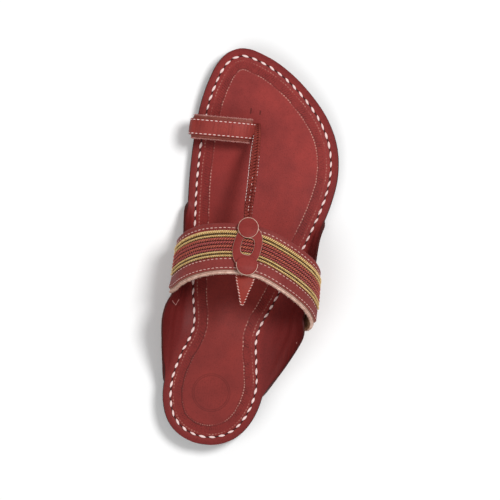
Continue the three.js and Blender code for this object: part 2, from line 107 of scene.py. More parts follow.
# Soft-edged line of a value: 1 within half of centre, 0 beyond half + soft
def lineAt(tree, value, centre, half, soft):
    off = put(tree, "ShaderNodeMath", {0: value, 1: centre}, operation="SUBTRACT")
    away = put(tree, "ShaderNodeMath", {0: off}, operation="ABSOLUTE")
    return put(tree, "ShaderNodeMapRange", {"Value": away, "From Min": half, "From Max": half + soft,
               "To Min": 1.0, "To Max": 0.0}, interpolation_type="SMOOTHSTEP")


# Colours a look where its masks meet, and presses a height into it
def dye(build, code, *masks):
    tree = build["tree"]
    build["colour"] = put(tree, "ShaderNodeMix", {0: overlap(tree, *masks), 6: build["colour"], 7: srgb(code)},
                          data_type="RGBA").outputs[2]


def press(build, height, strength, depth):
    build["normal"] = put(build["tree"], "ShaderNodeBump", {"Height": height, "Strength": strength,
                          "Distance": depth, "Normal": build["normal"]})


# Dyed leather: cloudy dye, fine pores and a broken satin shine
def leather(name, look):
    material, tree, shader = newMaterial(name)
    where = put(tree, "ShaderNodeTexCoord").outputs["Object"]
    build = {"material": material, "tree": tree, "shader": shader, "where": where, "colour": srgb(look["deep"])}
    cloud = put(tree, "ShaderNodeTexNoise", {"Vector": where, "Scale": 1000 / look["cloudMm"], "Detail": 6.0,
                "Roughness": 0.62})
    spread = put(tree, "ShaderNodeMapRange", {"Value": cloud, "From Min": 0.34, "From Max": 0.66})
    dye(build, look["fair"], spread)
    fleck = put(tree, "ShaderNodeTexNoise", {"Vector": where, "Scale": 1000 / look["poreMm"], "Detail": 2.0})
    speck = put(tree, "ShaderNodeMapRange", {"Value": fleck, "From Min": 0.55, "From Max": 0.75,
                "To Max": look["speck"]})
    dye(build, look["pore"], speck)
    pores = put(tree, "ShaderNodeTexVoronoi", {"Vector": where, "Scale": 1000 / look["poreMm"]})
    build["normal"] = put(tree, "ShaderNodeBump", {"Height": pores.outputs["Distance"],
                          "Strength": look["grain"], "Distance": 0.0002})
    wear = put(tree, "ShaderNodeMapRange", {"Value": cloud, "From Min": 0.3, "From Max": 0.7,
               "To Min": look["rough"] - 0.07, "To Max": look["rough"] + 0.08})
    tree.links.new(wear.outputs[0], shader.inputs["Roughness"])
    shader.inputs["Specular IOR Level"].default_value = look["shine"]
    shader.inputs["Coat Weight"].default_value = look["coat"]
    shader.inputs["Coat Roughness"].default_value = 0.38
    return build


def finishLeather(build):
    build["tree"].links.new(build["colour"], build["shader"].inputs["Base Color"])
    build["tree"].links.new(build["normal"].outputs[0], build["shader"].inputs["Normal"])
    return build["material"]


# Spun thread or cord: matt fibres in two tones, with painted shade in the lay of a cord where its strands meet
def fibre(name, deep, fair, rough, sheen, fineMm, metal=0.0, lay=None):
    material, tree, shader = newMaterial(name)
    where = put(tree, "ShaderNodeTexCoord").outputs["Object"]
    hairs = put(tree, "ShaderNodeTexNoise", {"Vector": where, "Scale": 1000 / fineMm, "Detail": 3.0})
    spread = put(tree, "ShaderNodeMapRange", {"Value": hairs, "From Min": 0.35, "From Max": 0.65})
    build = {"tree": tree, "colour": srgb(deep)}
    dye(build, fair, spread)
    if lay:
        dye(build, lay, put(tree, "ShaderNodeAttribute", attribute_name="cordLayShade").outputs["Fac"], 0.85)
    tree.links.new(build["colour"], shader.inputs["Base Color"])
    fuzz = put(tree, "ShaderNodeBump", {"Height": hairs, "Strength": 0.5, "Distance": 0.0002})
    tree.links.new(fuzz.outputs[0], shader.inputs["Normal"])
    shader.inputs["Roughness"].default_value = rough
    shader.inputs["Sheen Weight"].default_value = sheen
    shader.inputs["Metallic"].default_value = metal
    return material


dyedRed = {"deep": "802d2b", "fair": "963733", "pore": "5c1c1a", "cloudMm": 22, "poreMm": 0.9, "speck": 0.46,
           "grain": 0.28, "rough": 0.54, "shine": 0.14, "coat": 0.03}

# Footbed: satin maroon with its groove, pressed border lines and heel rings, darker up the ears
footbedLook = {"grooveHalf": 0.32, "outerLine": 3.1, "innerLine": 9.4, "lineHalf": 0.2, "dotPitch": 2.3,
               "hatch": (6.9, 2.0), "hatchPitch": 1.7, "stamp": (1.5, 10.6), "stampRadii": (13.1, 11.9),
               "petals": 8, "petalReach": 10.0, "stampLines": 1.7, "slitHalf": 0.28,
               "slits": ((1.6, 206.6, 210.2), (8.2, 206.8, 209.4)), "gritMm": 1.1, "patchMm": 7.0}
bed = leather("maroon footbed leather", dyedRed)
tree = bed["tree"]
fromSeam, alongSeam, upEar = (put(tree, "ShaderNodeAttribute", attribute_name=name).outputs["Fac"]
                              for name in ("seamDistance", "seamRun", "earTurn"))
flat = put(tree, "ShaderNodeVectorMath", {0: bed["where"], 1: (1000.0, 1000.0, 0.0)}, operation="MULTIPLY")
shoeXY = put(tree, "ShaderNodeVectorMath", {0: flat, 1: tuple(shoeShift)},
             operation="SUBTRACT")
shoeX, shoeY, _ = put(tree, "ShaderNodeSeparateXYZ", {0: shoeXY}).outputs
grit, patch = (put(tree, "ShaderNodeTexNoise", {"Vector": bed["where"], "Scale": 1000 / size,
                   "Detail": detail})
               for size, detail in ((footbedLook["gritMm"], 2.0), (footbedLook["patchMm"], 3.0)))
# what each mask follows, where it starts and is full, and its least and most
gradual = {"rearward": (shoeY, 150.0, 60.0, 0.0, 0.38), "inward": (shoeX, 14.0, -6.0, 0.0, 0.42),
           "rim": (fromSeam, -0.5, -5.2, 0.0, 0.6), "worked": (fromSeam, 9.6, 8.6, 0.0, 0.3),
           "medial": (shoeX, 8.0, -6.0, 0.0, 1.0), "heelward": (shoeY, 62.0, 40.0, 0.0, 1.0),
           "tighter": (shoeY, 60.0, 10.0, 0.0, 1.1), "rubbed": (grit, 0.5, 0.68, 0.0, 1.3),
           "broken": (patch, 0.4, 0.62, 0.1, 1.0), "unsteady": (patch, 0.0, 1.0, -0.9, 0.9)}
mask = {name: put(tree, "ShaderNodeMapRange", {"Value": value, "From Min": start, "From Max": full,
                  "To Min": least, "To Max": most})
        for name, (value, start, full, least, most) in gradual.items()}
# darker toward the waist and heel, partly deeper dye and partly painted shade; beside the big toe, painted shadow
# of the plait and toe ring with a deeper, redder dye; darker along the rim outside the seam; and darker up the
# ears, partly dye and partly painted shade, heavier on the lateral ear that faces away from the key light
dye(bed, "5e1d16", mask["rearward"])
# painted shadow of the plait and toe ring on the medial forefoot, mixed with a deeper dye
dye(bed, "701512", mask["inward"], lineAt(tree, shoeY, 148.0, 22.0, 34.0))
dye(bed, "551a1c", mask["rim"])
dye(bed, "771e1c", mask["worked"])
dye(bed, "511716", mask["rubbed"], mask["worked"])
# ears: dye and painted shade, with more painted shade on the lateral ear, which faces away from the light
earDyeAndShade = put(tree, "ShaderNodeMath", {0: mask["medial"], 1: -0.2, 2: 0.46}, operation="MULTIPLY_ADD")
dye(bed, "4a1210", upEar, earDyeAndShade)
# seam groove: pressed in and darkened with painted shade
groove = lineAt(tree, fromSeam, 0.0, footbedLook["grooveHalf"], 0.35)
dye(bed, "2a0c0b", groove, 0.85)
press(bed, groove, -0.8, 0.0009)


# Even beats along a length
def beats(length, pitch):
    turns = overlap(tree, length, 2 * math.pi / pitch)
    return put(tree, "ShaderNodeMath", {0: turns}, operation="SINE")


# border: two dotted pale lines drawn by hand, a scored line dark with painted shade, and short dark strokes of a
# creasing tool; on the medial heel, in shade, the scored line's painted shade is deeper and the pale inner line
# dimmer
# the medial heel lies in shade: painted shade there deepens the scored line and dims the pale inner line
inShade = overlap(tree, mask["heelward"], mask["medial"])
lit = put(tree, "ShaderNodeMath", {0: inShade, 1: -0.8, 2: 1.0}, operation="MULTIPLY_ADD")
scoredShade = put(tree, "ShaderNodeMath", {0: inShade, 1: 0.35, 2: 0.35}, operation="MULTIPLY_ADD")
dots = put(tree, "ShaderNodeMapRange", {"Value": beats(alongSeam, footbedLook["dotPitch"]), "From Min": -0.4,
           "From Max": 0.5, "To Min": 0.1})
byHand = fromSeam
for stray in ("unsteady", "tighter"):
    byHand = put(tree, "ShaderNodeMath", {0: byHand, 1: mask[stray]}, operation="ADD")
outer, inner = (lineAt(tree, byHand, footbedLook[line], footbedLook["lineHalf"], 0.3)
                for line in ("outerLine", "innerLine"))
scored = lineAt(tree, byHand, footbedLook["innerLine"] - 0.6, 0.2, 0.4)
dye(bed, "c98f80", outer, dots, mask["broken"], 0.5)
# painted shade in the scored line, deeper on the shaded medial heel
dye(bed, "4a1514", scored, scoredShade)
dye(bed, "dba495", inner, dots, mask["broken"], lit, 0.7)
for line in (outer, inner):
    press(bed, line, -0.5, 0.0004)
slant = put(tree, "ShaderNodeMath", {0: fromSeam, 1: 0.35, 2: alongSeam}, operation="MULTIPLY_ADD")
uneven = put(tree, "ShaderNodeMath", {0: grit, 1: 2.2, 2: slant}, operation="MULTIPLY_ADD")
stroke = put(tree, "ShaderNodeMapRange", {"Value": beats(uneven, footbedLook["hatchPitch"]), "From Min": 0.0,
             "From Max": 0.8})
hatch = overlap(tree, lineAt(tree, fromSeam, *footbedLook["hatch"], 0.5), mask["broken"], stroke)
press(bed, hatch, -0.4, 0.0003)
dye(bed, "431312", hatch, 0.6)
# heel: pressed rings round a plain rosette
fromHeart = put(tree, "ShaderNodeVectorMath", {0: shoeXY, 1: (*footbedLook["stamp"], 0.0)},
                operation="SUBTRACT")
reach = put(tree, "ShaderNodeVectorMath", {0: fromHeart}, operation="LENGTH").outputs["Value"]
heartX, heartY, _ = put(tree, "ShaderNodeSeparateXYZ", {0: fromHeart}).outputs
turn = put(tree, "ShaderNodeMath", {0: heartY, 1: heartX}, operation="ARCTAN2")
wave = put(tree, "ShaderNodeMath", {0: overlap(tree, turn, footbedLook["petals"] / 2)}, operation="COSINE")
petal = put(tree, "ShaderNodeMath", {0: wave}, operation="ABSOLUTE")
toPetal = put(tree, "ShaderNodeMath", {0: petal, 1: -footbedLook["petalReach"], 2: reach},
              operation="MULTIPLY_ADD")
inCircle = put(tree, "ShaderNodeMapRange", {"Value": reach, "From Min": 11.6, "From Max": 11.0})
ruled = put(tree, "ShaderNodeMapRange", {"Value": beats(heartX, footbedLook["stampLines"]), "From Min": 0.2})
pressed = [(lineAt(tree, reach, radius, 0.18, 0.3), 0.0003, 0.4) for radius in footbedLook["stampRadii"]]
pressed += [(lineAt(tree, toPetal, 0.0, 0.3, 0.6), 0.0003, 0.16),
            (overlap(tree, inCircle, ruled), 0.0001, 0.1)]
for mark, depth, shade in pressed:
    press(bed, mark, -0.45, depth)
    dye(bed, "511917", mark, shade)
# two slits before the toe post, where the plait's tails go down, pressed in and darkened with painted shade
for place, low, high in footbedLook["slits"]:
    slit = overlap(tree, lineAt(tree, shoeX, place, footbedLook["slitHalf"], 0.4),
                   lineAt(tree, shoeY, (low + high) / 2, (high - low) / 2, 0.4))
    press(bed, slit, -0.8, 0.0008)
    dye(bed, "431311", slit, 0.7)
# fine lengthwise creases of the ears
strand = put(tree, "ShaderNodeMapping", {"Vector": bed["where"], "Scale": (800.0, 40.0, 800.0)})
creases = put(tree, "ShaderNodeTexNoise", {"Vector": strand, "Scale": 1.0, "Detail": 4.0})
press(bed, overlap(tree, creases, upEar), 0.4, 0.0005)
streak = put(tree, "ShaderNodeMapRange", {"Value": creases, "From Min": 0.52, "From Max": 0.72})
dye(bed, "7e261f", streak, upEar, 0.3)
footbedLeather = finishLeather(bed)


# A leather of the band, with how far each point is from the band's front edge
def bandLeather(name, look):
    build = leather(name, look)
    return build, put(build["tree"], "ShaderNodeAttribute", attribute_name="acrossBand").outputs["Fac"]


# Strap face: rosier, duller red; painted shade between and under the cords, dented along its stitches
strapLook = {"under": ((8.6, 2.7, "1f1307"), (16.6, 5.2, "2c0807"), (24.2, 2.2, "1f1307")),
             "stitchRows": (3.8, 27.8, 34.7), "faceEnd": 35.8}
strap, across = bandLeather("maroon strap leather",
                            dict(dyedRed, deep="752c2a", fair="853834", rough=0.58, coat=0.02))
# painted shade in the gaps between and under the cords
for centre, half, shade in strapLook["under"]:
    dye(strap, shade, lineAt(strap["tree"], across, centre, half, 0.5), 0.9)
for row in strapLook["stitchRows"]:
    press(strap, lineAt(strap["tree"], across, row, 0.3, 0.7), -0.5, 0.0006)
strapLeather = finishLeather(strap)

ornamentLeather = finishLeather(leather("bright maroon leather",
                                        dict(dyedRed, deep="7b2926", fair="8a332e", rough=0.56)))
leafLeather = finishLeather(leather("leaf leather", dict(dyedRed, deep="7e2820", fair="90342a", rough=0.6)))
# Toe ring: as the straps, finely wrinkled across where it bends, with painted shade in the wrinkles' troughs
ring = leather("toe ring leather", dict(dyedRed, deep="85302b", fair="983d36", rough=0.54))
tree = ring["tree"]
strand = put(tree, "ShaderNodeMapping", {"Vector": ring["where"], "Scale": (700.0, 70.0, 240.0)})
wrinkle = put(tree, "ShaderNodeTexNoise", {"Vector": strand, "Scale": 1.0, "Detail": 3.0})
press(ring, wrinkle, 0.5, 0.0007)
# painted shade in the troughs of the wrinkles
wrinkleShade = put(tree, "ShaderNodeMapRange", {"Value": wrinkle, "From Min": 0.55, "From Max": 0.4, "To Max": 0.35})
dye(ring, "5f1f1c", wrinkleShade)
ringLeather = finishLeather(ring)
liningLeather = finishLeather(leather("brown lining leather", dict(dyedRed, deep="6e3229", fair="925046",
                                      pore="4a201a", rough=0.68, coat=0.0)))
# Plaited strips: painted shade where they tuck under and along their sides
plaited = leather("plaited leather", dict(dyedRed, deep="6a231e", fair="85342b", rough=0.55))
tuckShade = put(plaited["tree"], "ShaderNodeAttribute", attribute_name="plaitTuckShade").outputs["Fac"]
dye(plaited, "1e0606", tuckShade, 0.95)
plaitLeather = finishLeather(plaited)

# Raw cut edge: pale, matt, fibrous; the band's has a painted shadow under the face leather's trimmed edge and a
# thin brown line between its two layers
rawLook = {"deep": "c29684", "fair": "e8c8b8", "pore": "97685a", "cloudMm": 3.0, "poreMm": 0.5, "speck": 0.5,
           "grain": 0.6, "rough": 0.85, "shine": 0.2, "coat": 0.0}
rawEdge = finishLeather(leather("raw leather edge", rawLook))
bareBand, across = bandLeather("raw band edge", rawLook)
# painted shadow just behind the face leather's edge, then the thin brown line between the layers
for place, half, shade in ((35.9, 0.25, 0.85), (37.0, 0.14, 0.6)):
    dye(bareBand, "5d2f26", lineAt(bareBand["tree"], across, place, half, 0.3), shade)
bandEdge = finishLeather(bareBand)
# Face leather's cut edge: dyed dark, but bare at the rear where it was trimmed
darkCut = dict(dyedRed, deep="340f0e", fair="4c1916", pore="220909", rough=0.6)
cutEdge = finishLeather(leather("dyed cut edge", darkCut))
trimmed, across = bandLeather("trimmed band edge", darkCut)
dye(trimmed, "b47c68", lineAt(trimmed["tree"], across, strapLook["faceEnd"], 0.2, 0.2), 0.75)
faceEdge = finishLeather(trimmed)
suede = finishLeather(leather("brown flesh side", dict(rawLook, deep="a06a4b", fair="d8a682", pore="6d4029")))
edgeDye = finishLeather(leather("dark edge dye", dict(dyedRed, deep="1d0d0c", fair="301514", pore="150808",
                                rough=0.55)))
soleSide = finishLeather(leather("sole leather", dict(dyedRed, deep="4a2219", fair="6b3524", pore="32150f",
                                 rough=0.66, coat=0.0)))
goldCord = fibre("gold cord", "c68f3c", "fbe2a4", 0.4, 0.1, 0.6, 0.15, "83561c")
redCord = fibre("red cotton cord", "98301f", "d66a50", 0.76, 0.15, 0.6, lay="3a0b07")
roseCord = fibre("crimson cotton cord", "902a27", "c85a50", 0.76, 0.15, 0.6, lay="380909")
oliveCord = fibre("dark olive cord", "2a1803", "5c3d0c", 0.7, 0.0, 0.5)
fineThread = fibre("fine sewing thread", "c08c81", "e8c2b8", 0.6, 0.2, 0.35)
earThread = fibre("loose rose thread", "a5605a", "cf9189", 0.7, 0.2, 0.4)
paleThread = fibre("waxed pale thread", "e0b8b2", "f7e0dc", 0.6, 0.2, 0.35)
print("materials made")


# Meshes from arrays

# Places a mesh made in shoe millimetres; faces is an array of quads, or a list of such
def piece(name, points, faces, materials, faceMaterials=None, values=None, smoothAngle=38):
    points = rowSpace(points)
    faces = np.asarray(faces, np.int32)
    mesh = bpy.data.meshes.new(name)
    mesh.from_pydata(points.tolist(), [], faces.tolist())
    for material in materials:
        mesh.materials.append(material)
    if faceMaterials is not None:
        mesh.polygons.foreach_set("material_index", np.asarray(faceMaterials, np.int32))
    for label, column in (values or {}).items():
        layer = mesh.attributes.new(label, "FLOAT", "POINT")
        layer.data.foreach_set("value", np.asarray(column, np.float32))
    mesh.validate()
    mesh.polygons.foreach_set("use_smooth", np.ones(len(mesh.polygons), bool))
    mesh.set_sharp_from_angle(angle=math.radians(smoothAngle))
    mesh.update()
    obj = bpy.data.objects.new(name, mesh)
    bpy.context.scene.collection.objects.link(obj)
    return obj


# Quads of a grid, row by row; either way may close on itself
def gridFaces(rows, columns, closeRows=False, closeColumns=False):
    r = np.arange(rows if closeRows else rows - 1)[:, None]
    c = np.arange(columns if closeColumns else columns - 1)[None, :]
    a = r * columns + c
    b = r * columns + (c + 1) % columns
    d = ((r + 1) % rows) * columns + c
    e = ((r + 1) % rows) * columns + (c + 1) % columns
    return np.stack([a, b, e, d], -1).reshape(-1, 4)


# Closed sheet between an upper and a lower grid; its materials are for above, the edge and below
def sheet(name, upper, lower, materials, values=None, flip=False):
    rows, columns = upper.shape[:2]
    count = rows * columns
    above = gridFaces(rows, columns)
    index = np.arange(count).reshape(rows, columns)
    rim = np.concatenate([index[0, :], index[1:, -1], index[-1, -2::-1], index[-2:0:-1, 0]])
    after = np.roll(rim, -1)
    wall = np.stack([after, rim, rim + count, after + count], -1)
    faces = np.concatenate([above, wall, above[:, ::-1] + count])
    kinds = np.repeat((0, 1, 2), (len(above), len(wall), len(above)))
    points = np.concatenate([upper.reshape(-1, 3), lower.reshape(-1, 3)])
    return piece(name, points, faces[:, ::-1] if flip else faces, materials, kinds, values)


# Tubes swept along paths: centre, side and up are (paths, steps, 3); the section is in side and up
def tubes(centre, side, up, section):
    paths, steps, _ = centre.shape
    count = len(section)
    ring = (centre[:, :, None, :] + side[:, :, None, :] * section[None, None, :, 0, None]
            + up[:, :, None, :] * section[None, None, :, 1, None])
    one = gridFaces(steps, count, closeColumns=True)
    faces = [one + p * steps * count for p in range(paths)]
    caps = []
    for p in range(paths):
        base = p * steps * count
        for row, turn in ((0, -1), (steps - 1, 1)):
            loop = base + row * count + np.arange(count)[::turn]
            half = count // 2
            caps += [(loop[i], loop[i + 1], loop[count - 2 - i], loop[count - 1 - i]) for i in range(half - 1)]
    return ring.reshape(-1, 3), np.concatenate(faces + [np.array(caps)])[:, ::-1]


def unit(v):
    return v / np.maximum(np.linalg.norm(v, axis=-1, keepdims=True), 1e-9)


# Smooth curve through points, drawn as the part's own curves are; places run 0 to 1
def spline(points, places, closed=False):
    points = np.asarray(points, float)
    if closed:
        padded = np.concatenate([points[..., -1:, :], points, points[..., :2, :]], axis=-2)
        spans = points.shape[-2]
    else:
        first = 2 * points[..., :1, :] - points[..., 1:2, :]
        last = 2 * points[..., -1:, :] - points[..., -2:-1, :]
        padded = np.concatenate([first, points, last], axis=-2)
        spans = points.shape[-2] - 1
    p = np.clip(np.asarray(places, float), 0, 1) * spans
    i = np.minimum(np.floor(p).astype(int), spans - 1)
    w = (p - i)[:, None]
    a, b, c, d = (padded[..., i + k, :] for k in range(4))
    ab, bc, cd = (np.maximum(np.sum((v - u) ** 2, -1, keepdims=True) ** 0.25, 1e-4)
                  for u, v in ((a, b), (b, c), (c, d)))
    leave = ((b - a) / ab - (c - a) / (ab + bc) + (c - b) / bc) * bc
    arrive = ((c - b) / bc - (d - b) / (bc + cd) + (d - c) / cd) * bc
    return b + leave * w + (3 * (c - b) - 2 * leave - arrive) * w ** 2 + (2 * (b - c) + leave + arrive) * w ** 3


# Smooth function through one column of a table, by its first column
def column(rows, k):
    xs, ys = rows[:, 0], rows[:, k]
    slopes = np.gradient(ys, xs)
    slopes[1:-1] = (ys[2:] - ys[:-2]) / (xs[2:] - xs[:-2])

    def value(v):
        v = np.clip(np.asarray(v, float), xs[0], xs[-1])
        i = np.clip(np.searchsorted(xs, v, side="right") - 1, 0, len(xs) - 2)
        span = xs[i + 1] - xs[i]
        t = (v - xs[i]) / span
        keep = 2 * t ** 3 - 3 * t ** 2 + 1
        bend = (t ** 3 - 2 * t ** 2 + t) * slopes[i] + (t ** 3 - t ** 2) * slopes[i + 1]
        return keep * ys[i] + (1 - keep) * ys[i + 1] + bend * span
    return value


def ease(low, high, v):
    t = np.clip((np.asarray(v, float) - low) / (high - low), 0, 1)
    return t * t * (3 - 2 * t)


def bump(v, centre, width):
    return np.exp(-((np.asarray(v, float) - centre) / width) ** 2)


# Stitches, laid at points with a direction and the face they lie on

def stitchNodes():
    tree = bpy.data.node_groups.new("hand stitches", "GeometryNodeTree")
    tree.interface.new_socket("Geometry", in_out="INPUT", socket_type="NodeSocketGeometry")
    for label, kind in (("Length", "Float"), ("Width", "Float"), ("Height", "Float"), ("Taper", "Float"),
                        ("Wander", "Float"), ("Seed", "Int"), ("Thread", "Material")):
        tree.interface.new_socket(label, in_out="INPUT", socket_type="NodeSocket" + kind)
    tree.interface.new_socket("Geometry", in_out="OUTPUT", socket_type="NodeSocketGeometry")
    given = put(tree, "NodeGroupInput").outputs
    bead = put(tree, "GeometryNodeMeshUVSphere", {"Segments": 8, "Rings": 8, "Radius": 0.5})
    laid = put(tree, "GeometryNodeTransform",
               {"Geometry": bead.outputs["Mesh"], "Rotation": (0.0, math.pi / 2, 0.0)})
    at = put(tree, "GeometryNodeInputPosition")
    along = put(tree, "ShaderNodeSeparateXYZ", {0: at}).outputs["X"]
    square = put(tree, "ShaderNodeMath", {0: along, 1: along}, operation="MULTIPLY")
    left = put(tree, "ShaderNodeMath", {0: square, 1: -4.0, 2: 1.0},
               operation="MULTIPLY_ADD", use_clamp=True)
    slim = put(tree, "ShaderNodeMath", {0: left, 1: given["Taper"]}, operation="POWER")
    thin = put(tree, "ShaderNodeCombineXYZ", {"X": 1.0, "Y": slim, "Z": slim})
    slimmed = put(tree, "ShaderNodeVectorMath", {0: at, 1: thin}, operation="MULTIPLY")
    lens = put(tree, "GeometryNodeSetPosition", {"Geometry": laid, "Position": slimmed})
    size = put(tree, "ShaderNodeCombineXYZ", {"X": given["Length"], "Y": given["Width"], "Z": given["Height"]})
    shaped = put(tree, "GeometryNodeTransform", {"Geometry": lens, "Scale": size})
    aim = put(tree, "GeometryNodeInputNamedAttribute", {"Name": "aim"}, data_type="FLOAT_VECTOR")
    lie = put(tree, "GeometryNodeInputNamedAttribute", {"Name": "lie"}, data_type="FLOAT_VECTOR")
    turn = put(tree, "FunctionNodeAxesToRotation",
               {"Primary Axis": aim, "Secondary Axis": lie},
               primary_axis="X", secondary_axis="Z")
    back = put(tree, "ShaderNodeMath", {0: given["Wander"], 1: -1.0}, operation="MULTIPLY")
    swing = put(tree, "FunctionNodeRandomValue", {2: back, 3: given["Wander"], "Seed": given["Seed"]},
                data_type="FLOAT")
    about = put(tree, "ShaderNodeCombineXYZ", {"Z": swing.outputs[1]})
    euler = put(tree, "FunctionNodeEulerToRotation", {0: about})
    turned = put(tree, "FunctionNodeRotateRotation", {"Rotation": turn, "Rotate By": euler},
                 rotation_space="LOCAL")
    vary = put(tree, "FunctionNodeRandomValue",
               {0: (0.86, 0.86, 0.9), 1: (1.12, 1.12, 1.08), "Seed": given["Seed"]}, data_type="FLOAT_VECTOR")
    points = put(tree, "GeometryNodeMeshToPoints", {"Mesh": given["Geometry"]})
    sewn = put(tree, "GeometryNodeInstanceOnPoints", {"Points": points, "Instance": shaped,
               "Rotation": turned, "Scale": vary})
    real = put(tree, "GeometryNodeRealizeInstances", {0: sewn})
    smooth = put(tree, "GeometryNodeSetShadeSmooth", {"Geometry": real})
    thread = put(tree, "GeometryNodeSetMaterial", {"Geometry": smooth, "Material": given["Thread"]})
    put(tree, "NodeGroupOutput", {0: thread})
    return tree


stitches = stitchNodes()


def sew(name, places, aims, lies, size, material, wander=0.06, seed=1, taper=0.1):
    mesh = bpy.data.meshes.new(name)
    mesh.from_pydata(rowSpace(places).tolist(), [], [])
    for label, vectors in (("aim", aims), ("lie", lies)):
        layer = mesh.attributes.new(label, "FLOAT_VECTOR", "POINT")
        layer.data.foreach_set("vector", np.ascontiguousarray(vectors, np.float32).ravel())
    obj = bpy.data.objects.new(name, mesh)
    bpy.context.scene.collection.objects.link(obj)
    sewing = obj.modifiers.new("stitches", "NODES")
    sewing.node_group = stitches
    wanted = {"Length": size[0] / 1000, "Width": size[1] / 1000, "Height": size[2] / 1000,
              "Taper": taper, "Wander": wander, "Seed": seed, "Thread": material}
    for item in stitches.interface.items_tree:
        if item.in_out == "INPUT" and item.name in wanted:
            sewing[item.identifier] = wanted[item.name]
    done = bpy.data.meshes.new_from_object(obj.evaluated_get(bpy.context.evaluated_depsgraph_get()))
    obj.modifiers.clear()
    obj.data = done
    return obj


def runAlong(path):
    return np.concatenate([[0], np.cumsum(np.linalg.norm(np.diff(path, axis=0), axis=1))])


# What a path's points hold, at the given runs along it
def atRun(at, run, values):
    return np.stack([np.interp(at, run, values[:, k]) for k in range(3)], -1)


# Power of a wave that keeps its sign, for rounded squares
def signed(wave, power):
    return np.sign(wave) * np.abs(wave) ** power


# Points every pitch along a path, with the path's direction and the run there
def everyPitch(path, pitch, start=0.0, closed=False):
    run = runAlong(path)
    count = round(run[-1] / pitch) if closed else int((run[-1] - start) / pitch)
    at = np.arange(count) * (run[-1] / count) if closed else start + np.arange(count) * pitch
    spot = lambda s: atRun(s, run, path)
    return spot(at), unit(spot(np.minimum(at + 0.3, run[-1])) - spot(np.maximum(at - 0.3, 0))), at


# Places, directions and lies of the stitches along a path, whose outward directions are given
def stitchRow(path, outward, pitch, start=0.0):
    spots, aims, at = everyPitch(path, pitch, start)
    return spots, aims, unit(atRun(at, runAlong(path), outward))


def joinRows(rows):
    return [np.concatenate(parts) for parts in zip(*rows)]


# Sole

# along the foot, medial edge, lateral edge
soleRows = np.array([
    (-22.5, -14.5, 16.5), (-14, -25, 27), (0, -31, 34.5), (18, -32, 37.6), (36, -28.2, 35.2), (54, -22.6, 33.2),
    (76, -26, 41), (102, -29.4, 51), (130, -32.2, 60.4), (152, -34.2, 66.2), (172, -35.1, 68.2), (192, -35, 64.8),
    (210, -33.7, 55.6), (226, -30.4, 41.2), (239, -25.6, 24.6), (247, -19, 9)])
heelTip, toeTip = (1, -26), (-8.5, 251)
outline = spline(np.array([heelTip, *soleRows[:, [1, 0]], toeTip, *soleRows[::-1][:, [2, 0]]], float),
                 np.linspace(0, 1, 681), closed=True)
edgeOf = {-1: outline[:341], 1: outline[340:][::-1]}


def soleEdge(side, y):
    return np.interp(y, edgeOf[side][:, 1], edgeOf[side][:, 0])


sole = {"thickness": 5.2, "heel": 7.0, "breast": 44.0, "bow": 5.0, "heelInset": 0.5, "flatFrom": 104.0,
        "flatTo": 164.0, "spring": 7.0, "gap": 0.3}


def soleBase(y):
    lift = np.maximum(0, (np.asarray(y, float) - sole["flatTo"]) / (toeTip[1] - sole["flatTo"]))
    return sole["heel"] * (1 - ease(sole["breast"], sole["flatFrom"], y)) + sole["spring"] * lift ** 2


def inset(plan, by):
    ahead = np.roll(plan, -1, axis=0) - np.roll(plan, 1, axis=0)
    return plan + unit(np.stack([ahead[:, 1], -ahead[:, 0]], -1)) * by


def roundedStations(low, high, count):
    return (low + high) / 2 - (high - low) / 2 * np.cos(np.pi * np.arange(count + 1) / count)


# A stack of plan rings with paired points, closed across its first and last ring; walls have the first material
def stack(name, rings, materials):
    count = len(rings[0])
    walls = gridFaces(len(rings), count, closeColumns=True)[:, ::-1]
    low = np.array([(i, i + 1, count - 2 - i, count - 1 - i) for i in range(count // 2 - 1)])
    high = low[:, ::-1] + (len(rings) - 1) * count
    marks = np.concatenate([np.zeros(len(walls)), np.ones(2 * len(low))])
    return piece(name, np.concatenate(rings), np.concatenate([walls, low, high]), materials, marks)


# The outline's two edges at the given stations, with what closes it in front between them
def planAt(y, front=()):
    medial, lateral = (np.stack([soleEdge(side, y), y], -1) for side in (-1, 1))
    return np.concatenate([medial, *front, lateral[::-1]])


alongs = roundedStations(heelTip[1] + 0.06, toeTip[1] - 0.06, 260)
plan = planAt(alongs)
# profile of the side from the floor up: inset, height
sideSteps = [(0.8, 0), (0.25, 0.2), (0, 0.8), (0, 2.25), (0.35, 2.45), (0.6, 2.6), (0.35, 2.75), (0, 2.95),
             (0, 4.6), (0.12, 5.05), (0.4, 5.2)]


def ringAt(into, up):
    ring = inset(plan, into)
    return np.column_stack([ring, soleBase(ring[:, 1]) + up])


seat(stack("outsole_leather", [ringAt(*step) for step in sideSteps], [edgeDye, soleSide]),
     "outsole")

# Heel lift: the rear of the outline with a bowed breast
breast = [float(soleEdge(side, sole["breast"])) for side in (-1, 1)]
bridge = np.linspace(0.04, 0.96, 24)
front = np.stack([breast[0] + (breast[1] - breast[0]) * bridge,
                  sole["breast"] + 0.5 - sole["bow"] * 4 * bridge * (1 - bridge)], -1)
heelPlan = planAt(alongs[alongs < sole["breast"]], [front])
heelSteps = [(0.8, 0), (0.25, 0.2), (0, 0.8), (0, 3.2), (0.35, 3.4), (0.6, 3.5), (0.35, 3.6), (0, 3.8), (0, 6.7)]
heelRings = []
for into, up in heelSteps:
    ring = inset(heelPlan, sole["heelInset"] + into)
    heelRings.append(np.column_stack([ring, np.full(len(ring), float(up))]))
seat(stack("heel_lift_leather", heelRings, [edgeDye, soleSide]), "heel_lift")
print("sole made")

# Footbed and its ears

footbed = {"thickness": 3.2, "inset": 0.5, "seam": 5.6, "seamLeast": 0.4, "bend": 0.74, "pitch": 6.8,
           "stitch": (4.9, 1.7, 1.0), "twist": 9.0, "crown": 0.5, "skive": 1.9}
